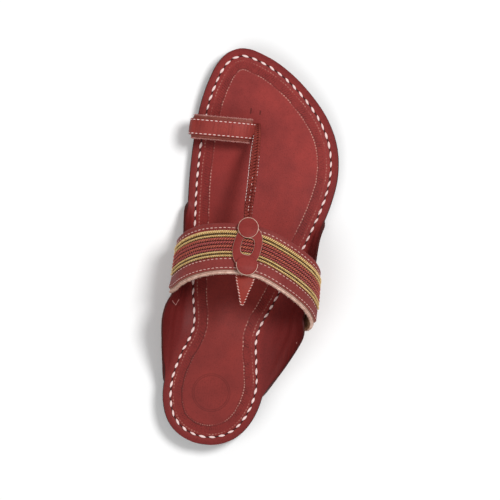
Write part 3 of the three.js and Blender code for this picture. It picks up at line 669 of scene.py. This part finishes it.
# along the foot, medial edge, lateral edge, rise
earRows = np.array([
    (12, -31.4, 36.8, 0), (24, -32, 42, 2.6), (40, -34.3, 49.7, 10), (56, -36, 56.5, 18), (66, -34, 59.2, 20.8),
    (76, -30.9, 59.4, 21.8), (88, -29.2, 58.4, 22), (100, -28.8, 57.9, 22), (115, -29.6, 58, 17.5),
    (128, -31.2, 58.9, 6), (140, -32.6, 62.4, 0)])
earEdge = {-1: column(earRows, 1), 1: column(earRows, 2)}
earRise = column(earRows, 3)
# soft creases of the ears: how far up the wall, from and to along the foot, height
earCreases = [(0.3, 34, 112, -0.15), (0.44, 46, 100, 0.18), (0.56, 40, 92, -0.2), (0.68, 52, 110, 0.2),
              (0.78, 36, 84, -0.2), (0.88, 48, 104, 0.18)]
# where an ear gives way beside the band: side, along, reach along, inward
earTucks = [(1, 71, 9, 4.5), (-1, 68, 9, -1.4)]


def footbedTop(y):
    return soleBase(y) + sole["thickness"] + sole["gap"] + footbed["thickness"]


def leatherEdge(side, y):
    rim = soleEdge(side, y) - side * footbed["inset"]
    return np.where((y <= earRows[0, 0]) | (y >= earRows[-1, 0]), rim, earEdge[side](y))


def seamLine(side, y):
    edge = soleEdge(side, y)
    mid = (soleEdge(-1, y) + soleEdge(1, y)) / 2
    reach = np.abs(edge - mid)
    return mid + side * np.maximum(reach - footbed["seam"], reach * footbed["seamLeast"])


# Leather between the seam (turn 0) and its upper edge (turn 1), at a depth below its upper face
def wallPoint(side, y, turn, depth, tucks=()):
    y, turn = np.broadcast_arrays(np.asarray(y, float), np.asarray(turn, float))
    seam, edge, rise = seamLine(side, y), leatherEdge(side, y), earRise(y)
    for which, at, reach, inward in tucks:
        edge = edge - side * inward * bump(y, at, reach) * (which == side)
    bend = seam + (edge - seam) * footbed["bend"]
    left = 1 - turn
    x = left ** 2 * seam + 2 * left * turn * bend + turn ** 2 * edge
    z = footbedTop(y) + rise * turn ** 2
    dx = np.abs(2 * left * (bend - seam) + 2 * turn * (edge - bend))
    dz = np.abs(2 * turn * rise)
    size = np.maximum(np.hypot(dx, dz), 1e-9)
    return np.stack([x + side * dz / size * depth, y, z - dx / size * depth], axis=-1)


stations = np.sort(np.concatenate([roundedStations(heelTip[1] + 0.5, toeTip[1] - 0.5, 200),
                                   np.linspace(20, 135, 70)]))
wallTurns = np.linspace(1, 0, 24)
flats = np.linspace(0, 1, 56)[1:-1]
earWeight = ease(0, 6, earRise(stations))


def bedGrid(depth):
    y = stations[:, None]
    sides = []
    for side in (-1, 1):
        skive = footbed["skive"] * ease(0.62, 1, wallTurns)[None, :] * earWeight[:, None]
        wall = wallPoint(side, y, wallTurns[None, :], np.maximum(depth, skive), earTucks)
        lift = np.zeros(wall.shape[:2])
        for turn, low, high, size in earCreases:
            fade = ease(low, low + 14, stations) * (1 - ease(high - 14, high, stations))
            lift += size * (fade * earWeight)[:, None] * bump(wallTurns, turn, 0.05)[None, :]
        slope = unit(np.stack([-side * np.gradient(wall[..., 2], axis=1),
                               np.abs(np.gradient(wall[..., 0], axis=1))], -1))
        wall[..., 0] -= side * np.abs(slope[..., 0]) * lift
        wall[..., 2] += slope[..., 1] * lift
        sides.append(wall)
    flat = sides[0][:, -1:, :] * (1 - flats[None, :, None]) + sides[1][:, -1:, :] * flats[None, :, None]
    return np.concatenate([sides[0], flat, sides[1][:, ::-1]], axis=1)


upperFace, lowerFace = bedGrid(0.0), bedGrid(footbed["thickness"])

# Distance from the seam, positive toward the foot, and the run along it; the run starts under the band
seamPath = inset(outline[:-1], footbed["seam"])
seamPath = np.roll(seamPath, -int(np.argmin(np.hypot(*(seamPath - np.array((-24.5, 106))).T))), axis=0)
seamPath = np.concatenate([seamPath, seamPath[:1]])
legs = np.diff(seamPath, axis=0)
legSize = np.linalg.norm(legs, axis=1)
legRun = np.concatenate([[0], np.cumsum(legSize)])[:-1]


def fromSeamLine(xy):
    away, run = np.empty(len(xy)), np.empty(len(xy))
    for s in range(0, len(xy), 2000):
        p = xy[s:s + 2000, None, :] - seamPath[None, :-1, :]
        t = np.clip(np.sum(p * legs, -1) / legSize ** 2, 0, 1)
        miss = p - t[..., None] * legs
        size = np.linalg.norm(miss, axis=-1)
        k = np.argmin(size, axis=1)
        n = np.arange(len(k))
        inside = np.sign(legs[k, 1] * p[n, k, 0] - legs[k, 0] * p[n, k, 1])
        away[s:s + 2000] = size[n, k] * inside
        run[s:s + 2000] = legRun[k] + t[n, k] * legSize[k]
    return away, run


away, run = fromSeamLine(upperFace.reshape(-1, 3)[:, :2])
turnShare = np.concatenate([wallTurns, np.zeros(len(flats)), wallTurns[::-1]])
earTurn = (turnShare[None, :] ** 1.2 * earWeight[:, None]).ravel()
# a little fullness inside the seam, a pulled-down seam, and the wear of heel and ball
inside = np.maximum(away, 0)
plump = footbed["crown"] * ease(0, 16, inside) - 0.35 * bump(away, 0, 1.5)
x, y = upperFace.reshape(-1, 3)[:, :2].T
# depth, centre and reach of the wear
for depth, atX, atY, reachX, reachY in ((0.5, 2, 4, 22, 24), (0.35, 14, 158, 30, 24)):
    plump -= depth * bump(x, atX, reachX) * bump(y, atY, reachY)
plump += 0.12 * np.sin(x / 9 + 0.4) * np.sin(y / 13) * ease(2, 12, inside)
upperFace[..., 2] += (plump * (1 - earTurn)).reshape(upperFace.shape[:2])
zero = np.zeros(len(away))
seat(sheet("footbed_leather", upperFace, lowerFace, [footbedLeather, cutEdge, soleSide],
           {"seamDistance": np.concatenate([away, zero - 9]), "seamRun": np.concatenate([run, zero]),
            "earTurn": np.tile(earTurn, 2)}), "footbed")

# Hand seam all round
seam3 = np.column_stack([seamPath, footbedTop(seamPath[:, 1]) + 0.12])
spots, aims, _ = everyPitch(seam3, footbed["pitch"], closed=True)
lies = np.tile((0.0, 0.0, 1.0), (len(spots), 1))
twist = math.radians(-footbed["twist"])
aims = np.stack([aims[:, 0] * math.cos(twist) - aims[:, 1] * math.sin(twist),
                 aims[:, 0] * math.sin(twist) + aims[:, 1] * math.cos(twist), aims[:, 2]], -1)
seat(sew("sole_seam_stitches", spots, aims, lies, footbed["stitch"], paleThread, 0.08, 3, 0.4))

# Loose threads on the ears: side, then along and turn of each bend
earThreads = [(-1, ((70.4, 0.98), (67.6, 0.66), (73.2, 0.6))), (1, ((53.4, 1.0), (54.4, 0.98)))]
rows = []
for side, bends in earThreads:
    places = np.linspace(0, len(bends) - 1, 40)
    along, turn = (np.interp(places, range(len(bends)), [bend[k] for bend in bends]) for k in (0, 1))
    path = wallPoint(side, along, turn, -0.1, earTucks)
    rows.append(stitchRow(path, wallPoint(side, along, turn, -1.0, earTucks) - path, 0.9))
seat(sew("ear_threads", *joinRows(rows), (1.3, 0.55, 0.4), earThread, 0.05, 4))
print("footbed made")

# Instep band

band = {"thickness": 3.6, "backing": 2.2, "width": 38.0, "front": 57.0, "rear": 73.0, "ridge": 6.0,
        "clearance": 0.6, "middle": 92.0, "pitch": 3.1, "stitch": (2.1, 0.62, 0.5),
        "medialLeg": (112.5, 76.5), "lateralLeg": (103.5, 67.0), "tail": 6.5}
# across the foot, front edge, rear edge
bandRows = np.array([
    (-35, 115.5, 78.3), (-31, 119.7, 82.7), (-21, 125.2, 89.2), (-6, 128.6, 94.4), (9, 129.6, 96.3),
    (24, 128.6, 95), (40, 123, 88.7), (52, 116.9, 82.2), (60, 111.6, 76.4), (64, 107, 72)])
legTurns = np.array((0.58, 0.79, 1.0))
legDepth = footbed["thickness"] + band["clearance"] + band["thickness"]
springing = float(footbedTop(band["middle"]) + earRise(band["middle"]))
shoulder = {side: float(wallPoint(side, band["middle"], 1.0, legDepth)[0]) for side in (-1, 1)}


def bandLines(back):
    lines = []
    for b in np.atleast_1d(back):
        x = bandRows[:, 0]
        y = bandRows[:, 1] + (bandRows[:, 2] - bandRows[:, 1]) * b
        reach = np.where(x < band["ridge"], shoulder[-1], shoulder[1]) - band["ridge"]
        high = band["front"] + (band["rear"] - band["front"]) * b
        z = springing + (high - springing) * np.sqrt(np.maximum(0, 1 - ((x - band["ridge"]) / reach) ** 2))
        legAt = lambda leg: leg[0] + (leg[1] - leg[0]) * b
        medial = wallPoint(-1, legAt(band["medialLeg"]), legTurns, legDepth)
        lateral = wallPoint(1, legAt(band["lateralLeg"]), legTurns[::-1], legDepth)
        lines.append(np.concatenate([medial, np.stack([x, y, z], -1), lateral]))
    return np.array(lines)


# Points of the band's outer face and its outward normals: rows by back share, columns by girth
def bandFace(girth, back):
    girth, back = np.atleast_1d(girth).astype(float), np.atleast_1d(back).astype(float)
    lines = bandLines(back)
    here = spline(lines, girth)
    rearward = spline(bandLines(back + 0.02), girth) - here
    along = spline(lines, np.minimum(girth + 1e-3, 1)) - spline(lines, np.maximum(girth - 1e-3, 0))
    return here, unit(np.cross(rearward, along)), unit(along), unit(rearward)


girths = np.linspace(0, 1, 181)


def bandSheet(name, ats, top, bottom, materials, rough=0.0, tail=0.0):
    ats = np.asarray(ats, float)
    here, normal, _, rearward = bandFace(girths, ats / band["width"])
    if rough:
        wave = rough * (0.6 * np.sin(girths * 160 + 1) + 0.5 * np.sin(girths * 371)
                        + 0.4 * rng.standard_normal(len(girths)))
        here[-1] += rearward[-1] * wave[:, None]
    swept = tail * ease(31, 38, ats)[:, None] * ease(0.8, 0.97, girths)[None, :]
    here = here + rearward * swept[..., None]
    upper = here + normal * np.asarray(top(ats), float)[:, None, None]
    lower = here + normal * np.asarray(bottom(ats), float)[:, None, None]
    return sheet(name, upper, lower, materials, {"acrossBand": np.tile(np.repeat(ats, len(girths)), 2)}, flip=True)


step = band["backing"] - band["thickness"]
edgeFall = lambda ats, low, high, depth: -depth * (bump(ats, low, 0.5) + bump(ats, high, 0.5))
backing = bandSheet("band_backing", [0.5, 0.8, 1.4, *np.linspace(4, 34, 14), 35.2, 35.8, 36.4, 37, 37.5, 37.8, 38],
                    lambda a: step - 0.02 + edgeFall(a, 0.5, band["width"], 0.35),
                    lambda a: -band["thickness"] + 0.3 * bump(a, band["width"], 0.5),
                    [bandEdge, rawEdge, suede], 0.22, band["tail"])
seat(backing, "upper")
sunk = lambda a: 0.25 * ease(4.6, 5.4, a) * (1 - ease(26.6, 27.2, a))
dip = lambda a: -0.14 * sum(bump(a, row, 0.8) for row in strapLook["stitchRows"]) - sunk(a)
face = bandSheet("band_face_leather",
                 [0, 0.15, 0.4, 0.8, 1.5, 2.4, 3.1, 3.8, 4.5, 5.2, *np.linspace(6, 26, 12), 26.8, 27.3, 27.8, 28.3,
                  29, 30, 31, 32, 33, 33.7, 34.2, 34.7, 35.2, 35.5, 35.7, strapLook["faceEnd"]],
                 lambda a: dip(a) + edgeFall(a, 0, strapLook["faceEnd"], 0.55), lambda a: step + 0 * a,
                 [strapLeather, faceEdge, strapLeather])
seat(face)

# Cords: two strands twisted together, laid side by side along the band
cords = {
    "gold": {"spans": [(5.8, 8.3), (9.4, 11.0), (22.1, 23.7), (24.8, 26.4)], "material": goldCord, "height": 0.22,
             "lay": 2.9, "full": 1.0},
    "red": {"spans": [(11.5, 13.8), (17.0, 19.3)], "material": redCord, "height": 0.18, "lay": 3.7, "full": 0.96},
    "crimson": {"spans": [(14.2, 16.5), (19.7, 21.7)], "material": roseCord, "height": 0.18, "lay": 3.7,
                "full": 0.96},
    "olive": {"spans": [(8.4, 9.3), (23.8, 24.7)], "material": oliveCord, "height": -0.1, "lay": 2.6, "full": 1.0}}
cordSteps = np.linspace(0.012, 0.988, 760)
strandAngles = np.arange(8) * np.pi / 4
strandSection = np.stack([np.cos(strandAngles), np.sin(strandAngles)], -1)
for label, cord in cords.items():
    centres, sidesOf, ups, layShades = [], [], [], []
    for start, end in cord["spans"]:
        radius = (end - start) / 2
        here, normal, _, rearward = (v[0] for v in bandFace(cordSteps, (start + end) / 2 / band["width"]))
        fade = ease(0, 0.05, np.minimum(cordSteps, 1 - cordSteps))
        flatten = min(0.9 / radius, 1.0)
        thick = 0.6 * radius * cord["full"]
        for strand in (0, math.pi):
            turn = 2 * math.pi * runAlong(here) / cord["lay"] + strand
            out = cord["height"] + 0.5 * radius * flatten * np.sin(turn) * fade
            beside = 0.42 * radius * np.cos(turn) * cord["full"]
            centres.append(here + rearward * beside[:, None] + normal * out[:, None])
            sidesOf.append(rearward * thick)
            ups.append(normal * thick * flatten)
            # painted shade on each strand's side that turns into the lay between the strands
            layShades.append(1 - ease(-0.1, 0.55, np.cos(strandAngles[None, :] - turn[:, None])))
    points, faces = tubes(np.array(centres), np.array(sidesOf), np.array(ups), strandSection)
    seat(piece(label + "_cords", points, faces, [cord["material"]], values={"cordLayShade": np.array(layShades).ravel()},
               smoothAngle=80))

# Rows of stitching along the band
fine = np.linspace(0.02, 0.98, 500)
rows = []
for at in strapLook["stitchRows"]:
    here, normal, _, _ = (v[0] for v in bandFace(fine, at / band["width"]))
    spots, aims, lies = stitchRow(here, normal, band["pitch"], 1.0)
    rows.append((spots + lies * 0.02, aims, lies))
seat(sew("band_stitches", *joinRows(rows), band["stitch"], fineThread, 0.07, 5))

# Loose fibres along the raw rear edge
fuzzCount = 1500
where = rng.uniform(0.03, 0.97, fuzzCount)
here, normal, along, rearward = (v[0] for v in bandFace(where, 1.0))
deep = rng.uniform(-band["thickness"], step, fuzzCount)
fuzzAims = unit(rearward * 0.5 + rng.standard_normal((fuzzCount, 3)) * 0.6 - normal * 0.3)
fuzzSpots = here + normal * deep[:, None] + rearward * rng.uniform(-0.2, 0.3, fuzzCount)[:, None]
seat(sew("raw_edge_fibres", fuzzSpots, fuzzAims, normal, (1.3, 0.12, 0.12), rawEdge, 0.6, 9))
print("band made")

# Plaited strap to the toe post

plait = {"width": 6.8, "strands": 4, "pitch": 9.8, "strip": (0.95, 0.7), "lift": 0.85, "core": (2.3, 0.6),
         "thread": (1.3, 0.45, 0.4), "narrowing": (0.2, 55.0, 0.26)}
# across, along, height
plaitCourse = np.array([
    (10.8, 123, 58.2), (10.2, 130, 55), (9.4, 140, 50), (9.3, 155, 43.2), (8.9, 170, 36.4),
    (8.5, 182, 29.6), (8.2, 190.3, 23.6), (7.6, 195.6, 17.6), (7.0, 198.8, 12.2), (6.8, 199.6, 8.4)])
course = spline(plaitCourse, np.linspace(0, 1, 900))
courseRun = runAlong(course)
plaitRun = np.linspace(0, courseRun[-1], 420)
centre = atRun(plaitRun, courseRun, course)
forward = unit(np.gradient(centre, axis=0))
sideways = unit(np.array((1.0, 0, 0)) - forward * forward[:, :1])
upward = np.cross(sideways, forward)
bandEnd, toeEnd = (1 - ease(0, plait["narrowing"][1], plaitRun)), ease(0.62, 0.85, plaitRun / courseRun[-1])
narrow = 1 - plait["narrowing"][0] * bandEnd - plait["narrowing"][2] * toeEnd
swing = plait["width"] / 2 - plait["strip"][0]
angles = (np.arange(12) + 0.5) * np.pi / 6
stripSection = np.stack([signed(np.cos(angles), 0.8), signed(np.sin(angles), 0.8)], -1)
centres, sidesOf, ups, tucks = [], [], [], []
for strand in range(plait["strands"]):
    turn = 2 * math.pi * (plaitRun / plait["pitch"] + strand / plait["strands"])
    out = np.cos(turn)
    high = np.sin((plait["strands"] - 1) * turn)
    path = centre + sideways * (swing * narrow * out)[:, None] + upward * (plait["lift"] * high)[:, None]
    heading = unit(np.gradient(path, axis=0))
    flatSide = unit(np.cross(heading, upward))
    centres.append(path)
    sidesOf.append(flatSide * plait["strip"][0])
    ups.append(unit(np.cross(flatSide, heading)) * plait["strip"][1])
    # painted shade where a strand tucks under the others, and along each strip's sides
    tucks.append(np.maximum(ease(0.1, -0.7, high)[:, None], ease(0.75, 0.95, np.abs(np.cos(angles)))[None, :]))
points, faces = tubes(np.array(centres), np.array(sidesOf), np.array(ups), stripSection)
seat(piece("plaited_strap", points, faces, [plaitLeather], smoothAngle=70,
           values={"plaitTuckShade": np.array(tucks).ravel()}))
core = tubes(centre[None], sideways[None] * (plait["core"][0] * narrow)[None, :, None],
             upward[None] * plait["core"][1], stripSection)
seat(piece("plait_core", *core, [cutEdge], smoothAngle=70))

# Pale thread: broken along the middle and the outer side, whole along the inner side
# side, first and last step of the run, pitch, share that shows
threadRows = [(0, 12, 210, 2.45, 0.5), (1, 12, -60, 2.45, 0.5), (-1, 110, -70, 1.25, 1.0)]
rows = []
for side, first, last, pitch, share in threadRows:
    beside = side * (plait["width"] / 2 - 0.35) * narrow
    path = centre + sideways * beside[:, None] + upward * (1.45 - 0.5 * abs(side))
    row = stitchRow(path[first:last], upward[first:last], pitch, 0.5)
    kept = rng.random(len(row[0])) < share
    rows.append([part[kept] for part in row])
seat(sew("plait_edge_threads", *joinRows(rows), plait["thread"], paleThread, 0.25, 17))
print("plait made")

# Ring for the big toe

loop = {"width": 16.0, "faceThick": 1.5, "liningThick": 1.5, "span": 45.6, "rise": 19.4, "x": -16.5,
        "along": 193.0, "skew": 0.05, "square": 2.7, "crown": 0.25, "pitch": 3.2,
        "stitch": (2.2, 0.6, 0.5), "rowAt": 4.8, "rowOut": 2.98}
thick = loop["faceThick"] + loop["liningThick"]
halfSpan = loop["span"] / 2 - thick - loop["crown"]
halfRise = loop["rise"] / 2 - thick - loop["crown"]


# Points of the ring at an angle round the toe, a place along the foot and a distance out from its inside
def loopPoint(angle, y, out):
    angle, y, out = np.broadcast_arrays(angle, y, out)
    x = halfSpan * signed(np.cos(angle), 2 / loop["square"])
    z = halfRise * signed(np.sin(angle), 2 / loop["square"])
    outX, outZ = (signed(v / half, loop["square"] - 1) / half for v, half in ((x, halfSpan), (z, halfRise)))
    size = np.hypot(outX, outZ)
    px = loop["x"] + x + outX / size * out
    py = loop["along"] + y + (px - loop["x"]) * loop["skew"]
    pz = footbedTop(py) + sole["gap"] + loop["rise"] / 2 + z + outZ / size * out
    return np.stack([px, py, pz], -1)


loopAngles = np.linspace(0, 2 * np.pi, 240, endpoint=False) + 0.006


def loopSheet(name, section, materials, kinds):
    section = np.array(section, float)
    points = loopPoint(loopAngles[:, None], section[None, :, 0], section[None, :, 1])
    faces = gridFaces(len(loopAngles), len(section), closeRows=True, closeColumns=True)
    seat(piece(name, points.reshape(-1, 3), faces, materials, np.tile(kinds, len(loopAngles)), smoothAngle=50))


# sections: place along the foot, distance out; then the material of each of their sides
loopSheet("toe_ring_lining",
          [(-8, 0.1), (-7.8, 0.55), (-7.2, 0.95), (-6, 1.4), (-3, 1.45), (0, 1.45), (3, 1.45), (6, 1.4),
           (7.2, 0.95), (7.8, 0.55), (8, 0.1), (8, -0.5), (5, -0.2), (0, 0), (-5, -0.2), (-8, -0.5)],
          [liningLeather, rawEdge], [1, 0, 0, 0, 0, 0, 0, 0, 0, 1, 1, 0, 0, 0, 0, 1])
loopSheet("toe_ring_face",
          [(-5.7, 1.5), (-5.7, 2.5), (-5.6, 2.85), (-5.3, 2.98), (-4.8, 2.93), (-3.8, 3.08), (0, 3.25),
           (3.8, 3.08), (4.8, 2.93), (5.3, 2.98), (5.6, 2.85), (5.7, 2.5), (5.7, 1.5), (0, 1.5)],
          [ringLeather, cutEdge], [1, 0, 0, 0, 0, 0, 0, 0, 0, 0, 0, 1, 0, 0])

turns = np.linspace(-0.5, np.pi + 0.5, 400)
rows = []
for y in (-loop["rowAt"], loop["rowAt"]):
    path = loopPoint(turns, y, loop["rowOut"])
    rows.append(stitchRow(path, loopPoint(turns, y, loop["rowOut"] + 1) - path, loop["pitch"], 0.6))
seat(sew("toe_ring_stitches", *joinRows(rows), loop["stitch"], paleThread, 0.06, 11))
# loose fibres on the lining's edges
fuzzCount = 900
turns = rng.uniform(0.1, np.pi - 0.1, fuzzCount)
ends = rng.choice((-loop["width"] / 2, loop["width"] / 2), fuzzCount)
here = loopPoint(turns, ends, rng.uniform(-0.2, 1.0, fuzzCount))
normal = unit(loopPoint(turns, ends, 1.0) - loopPoint(turns, ends, 0.0))
fuzzAims = unit(rng.standard_normal((fuzzCount, 3)) * (1.0, 0.45, 0.5))
seat(sew("toe_ring_fibres", here, fuzzAims, normal, (2.0, 0.2, 0.16), earThread, 0.35, 19))
print("toe ring made")

# Ornament over the middle of the band

ornament = {"lift": 1.49, "plate": 1.4, "disc": 2.1, "front": (11.2, 127.5, 7.1), "rear": (13.8, 102.6, 7.5),
            "rearFront": 0.78, "bow": 1.9, "centre": (12.4, 114.8), "outer": (9.7, 14.5, 2.3),
            "window": (4.4, 5.8, 3.0), "turn": 0.11, "discPoints": 72, "platePoints": 112}
near, _, _, _ = bandFace(np.linspace(0.4, 0.62, 60), np.linspace(-0.25, 1.25, 50))
nx, ny, nz = near.reshape(-1, 3).T
keep = (nx > -4) & (nx < 32)
powers = [(i, j) for i in range(6) for j in range(4)]
terms = lambda x, y: np.stack([((x - 12) / 15) ** i * ((y - 112) / 25) ** j for i, j in powers], -1)
weights = np.linalg.lstsq(terms(nx[keep], ny[keep]), nz[keep], rcond=None)[0]


def bandHeight(x, y):
    return terms(np.asarray(x, float), np.asarray(y, float)) @ weights


def ovalRing(centre, width, length, square, turn, count):
    angle = 2 * np.pi * np.arange(count) / count - np.pi / 2
    x = width * signed(np.cos(angle), 2 / square)
    y = length * signed(np.sin(angle), 2 / square)
    return np.stack([centre[0] + x * math.cos(turn) + y * math.sin(turn),
                     centre[1] - x * math.sin(turn) + y * math.cos(turn)], -1)


def overBand(ring, lift):
    return np.column_stack([ring, bandHeight(ring[:, 0], ring[:, 1]) + lift])


# Domed discs with a skived pale rim; every level is a share of the radius and of the thickness
discLevels = [(0.02, 0), (0.5, 0), (1, 0), (1, 0.3), (0.995, 0.5), (0.95, 0.66), (0.91, 0.76), (0.86, 0.86),
              (0.75, 0.93), (0.5, 0.98), (0.25, 1.0), (0.02, 1.0)]
count = ornament["discPoints"]
shut = np.array([(i, i + 1, count - 2 - i, count - 1 - i) for i in range(count // 2 - 1)])
for name, node, end in (("front_disc", "disc_front", "front"), ("rear_disc", "disc_rear", "rear")):
    spot = ornament[end]
    base = ornament["lift"] + ornament["plate"] + sole["gap"]
    plans = [ovalRing(spot, spot[2] * r, spot[2] * r, 2.0, 0, count) for r, _ in discLevels]
    if end == "rear":
        for plan in plans:
            ahead = plan[:, 1] - spot[1]
            plan[:, 1] = spot[1] + ahead * np.where(ahead > 0, ornament["rearFront"], 1)
    rings = [overBand(plan, base + h * ornament["disc"]) for plan, (_, h) in zip(plans, discLevels)]
    plateEnd = ornament["outer"][1] - 1.5
    for ring in rings:
        ring[:, 2] -= ornament["bow"] * ease(0, 7, np.abs(ring[:, 1] - ornament["centre"][1]) - plateEnd)
    walls = gridFaces(len(rings), count, closeColumns=True)
    faces = np.concatenate([walls, shut[:, ::-1], shut + (len(rings) - 1) * count])
    # the rear disc's front half is dyed over its rim
    bare = plans[2][:, 1] < spot[1] + (1 if end == "rear" else 99)
    kinds = np.concatenate([*(bare * pale for pale in (0, 0, 1, 1, 1, 0, 0, 0, 0, 0, 0)), np.zeros(2 * len(shut))])
    seat(piece(name, np.concatenate(rings), faces, [ornamentLeather, rawEdge], kinds, smoothAngle=60),
         node)

# Plate with its window: profile from the outer edge to the window, share across and share of the thickness
plateProfile = [(0, 0), (0, 0.55), (0.03, 0.8), (0.12, 1.0), (0.3, 1.06), (0.5, 1.08), (0.7, 1.06), (0.88, 1.0),
                (0.97, 0.8), (1, 0.55), (1, 0), (0.5, 0)]
count = ornament["platePoints"]
rings = []
for share, high in plateProfile:
    blend = [o + (w - o) * share for o, w in zip(ornament["outer"], ornament["window"])]
    oval = ovalRing(ornament["centre"], *blend, ornament["turn"], count)
    rings.append(overBand(oval, ornament["lift"] + high * ornament["plate"]))
faces = gridFaces(len(rings), count, closeRows=True, closeColumns=True)
seat(piece("ornament_plate_leather", np.concatenate(rings), faces, [ornamentLeather, rawEdge],
           np.repeat([1, 1, 0, 0, 0, 0, 0, 0, 1, 1, 0, 0], count), smoothAngle=60),
     "ornament_plate")

# Leaf behind the band, whipped along both edges; along, middle, width, drop
leafRows = np.array([(74.6, 14.2, 2.4, -1.8), (80, 14.1, 5.4, -2.3), (85, 14, 8.4, -2.2), (90, 13.9, 11.6, -1.5),
                     (94, 13.8, 13.2, -0.4), (98, 13.6, 13.4, 0), (103, 13.4, 11, 0)])
leaf = {"thick": 2.0, "held": 97.0, "under": band["thickness"] * 1.16 + sole["gap"], "pitch": 2.1,
        "stitch": (1.8, 0.8, 0.6)}
leafAlong = np.concatenate([[74.6, 74.75, 75.1], np.linspace(75.6, 103, 60)])
middleX, width, drop = (column(leafRows, k)(leafAlong) for k in (1, 2, 3))
width[:3] *= (0.5, 0.78, 0.95)
shares = np.array((-0.5, -0.49, -0.46, -0.4, -0.28, -0.14, 0, 0.14, 0.28, 0.4, 0.46, 0.49, 0.5))
px = middleX[:, None] + shares[None, :] * width[:, None]
py = np.repeat(leafAlong[:, None], len(shares), axis=1)
pz = bandHeight(px, np.maximum(py, leaf["held"])) - leaf["under"] - drop[:, None]
fall = 0.35 * (np.abs(shares) * 2) ** 6
upper = np.stack([px, py, pz - fall[None, :]], -1)
lower = np.stack([px, py, pz - leaf["thick"]], -1)
seat(sheet("leaf_tongue_leather", upper, lower, [leafLeather, rawEdge, liningLeather]),
     "leaf_tongue")
rowPoints, rowAims = [], []
for side, k in ((-1, 1), (1, 11)):
    spots, aims, _ = everyPitch(upper[:52, k], leaf["pitch"], 0.4)
    rowPoints.append(spots + np.array((-side * 0.35, 0, 0.1)))
    rowAims.append(unit(aims + np.array((side * 0.9, 0, -0.2))))
leafThread = sew("leaf_whip_stitches", np.concatenate(rowPoints), np.concatenate(rowAims),
                 np.tile((0.0, 0.0, 1.0), (sum(map(len, rowPoints)), 1)), leaf["stitch"], fineThread, 0.1, 13)
seat(leafThread)
print("ornament made")

# Floor, light and camera

mesh = bpy.data.meshes.new("floor")
mesh.from_pydata([(-3, -3, 0), (3, -3, 0), (3, 3, 0), (-3, 3, 0)], [], [(0, 1, 2, 3)])
floor = bpy.data.objects.new("floor", mesh)
bpy.context.scene.collection.objects.link(floor)
paper, tree, shader = newMaterial("white paper")
shader.inputs["Base Color"].default_value = (0.93, 0.93, 0.93, 1)
shader.inputs["Roughness"].default_value = 0.9
shader.inputs["Specular IOR Level"].default_value = 0.1
mesh.materials.append(paper)
floor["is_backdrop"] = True


def softLight(name, place, size, power):
    lamp = bpy.data.lights.new(name, "AREA")
    lamp.shape = "DISK"
    lamp.size = size
    lamp.energy = power
    obj = bpy.data.objects.new(name, lamp)
    obj.location = place
    away = math.hypot(place[0], place[1])
    obj.rotation_euler = (math.atan2(away, place[2]), 0, math.atan2(-place[0], place[1]) + math.pi)
    bpy.context.scene.collection.objects.link(obj)


softLight("key", (0.66, 0.62, 1.6), 0.6, 24)
softLight("fill", (-0.8, -0.7, 1.5), 1.6, 11)
world = bpy.data.worlds.new("studio")
world.use_nodes = True
world.node_tree.nodes["Background"].inputs["Color"].default_value = (1, 1, 1, 1)
world.node_tree.nodes["Background"].inputs["Strength"].default_value = 0.33
bpy.context.scene.world = world
bpy.context.scene.view_settings.view_transform = "Standard"

camera = bpy.data.cameras.new("camera")
camera.lens = 330
camera.sensor_width = 36
camera.clip_end = 20
view = bpy.data.objects.new("camera", camera)
view.location = (0, 0, 3.2)
view.rotation_euler = (0, 0, math.radians(8))
bpy.context.scene.collection.objects.link(view)
bpy.context.scene.camera = view

low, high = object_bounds()
print("scene ready")
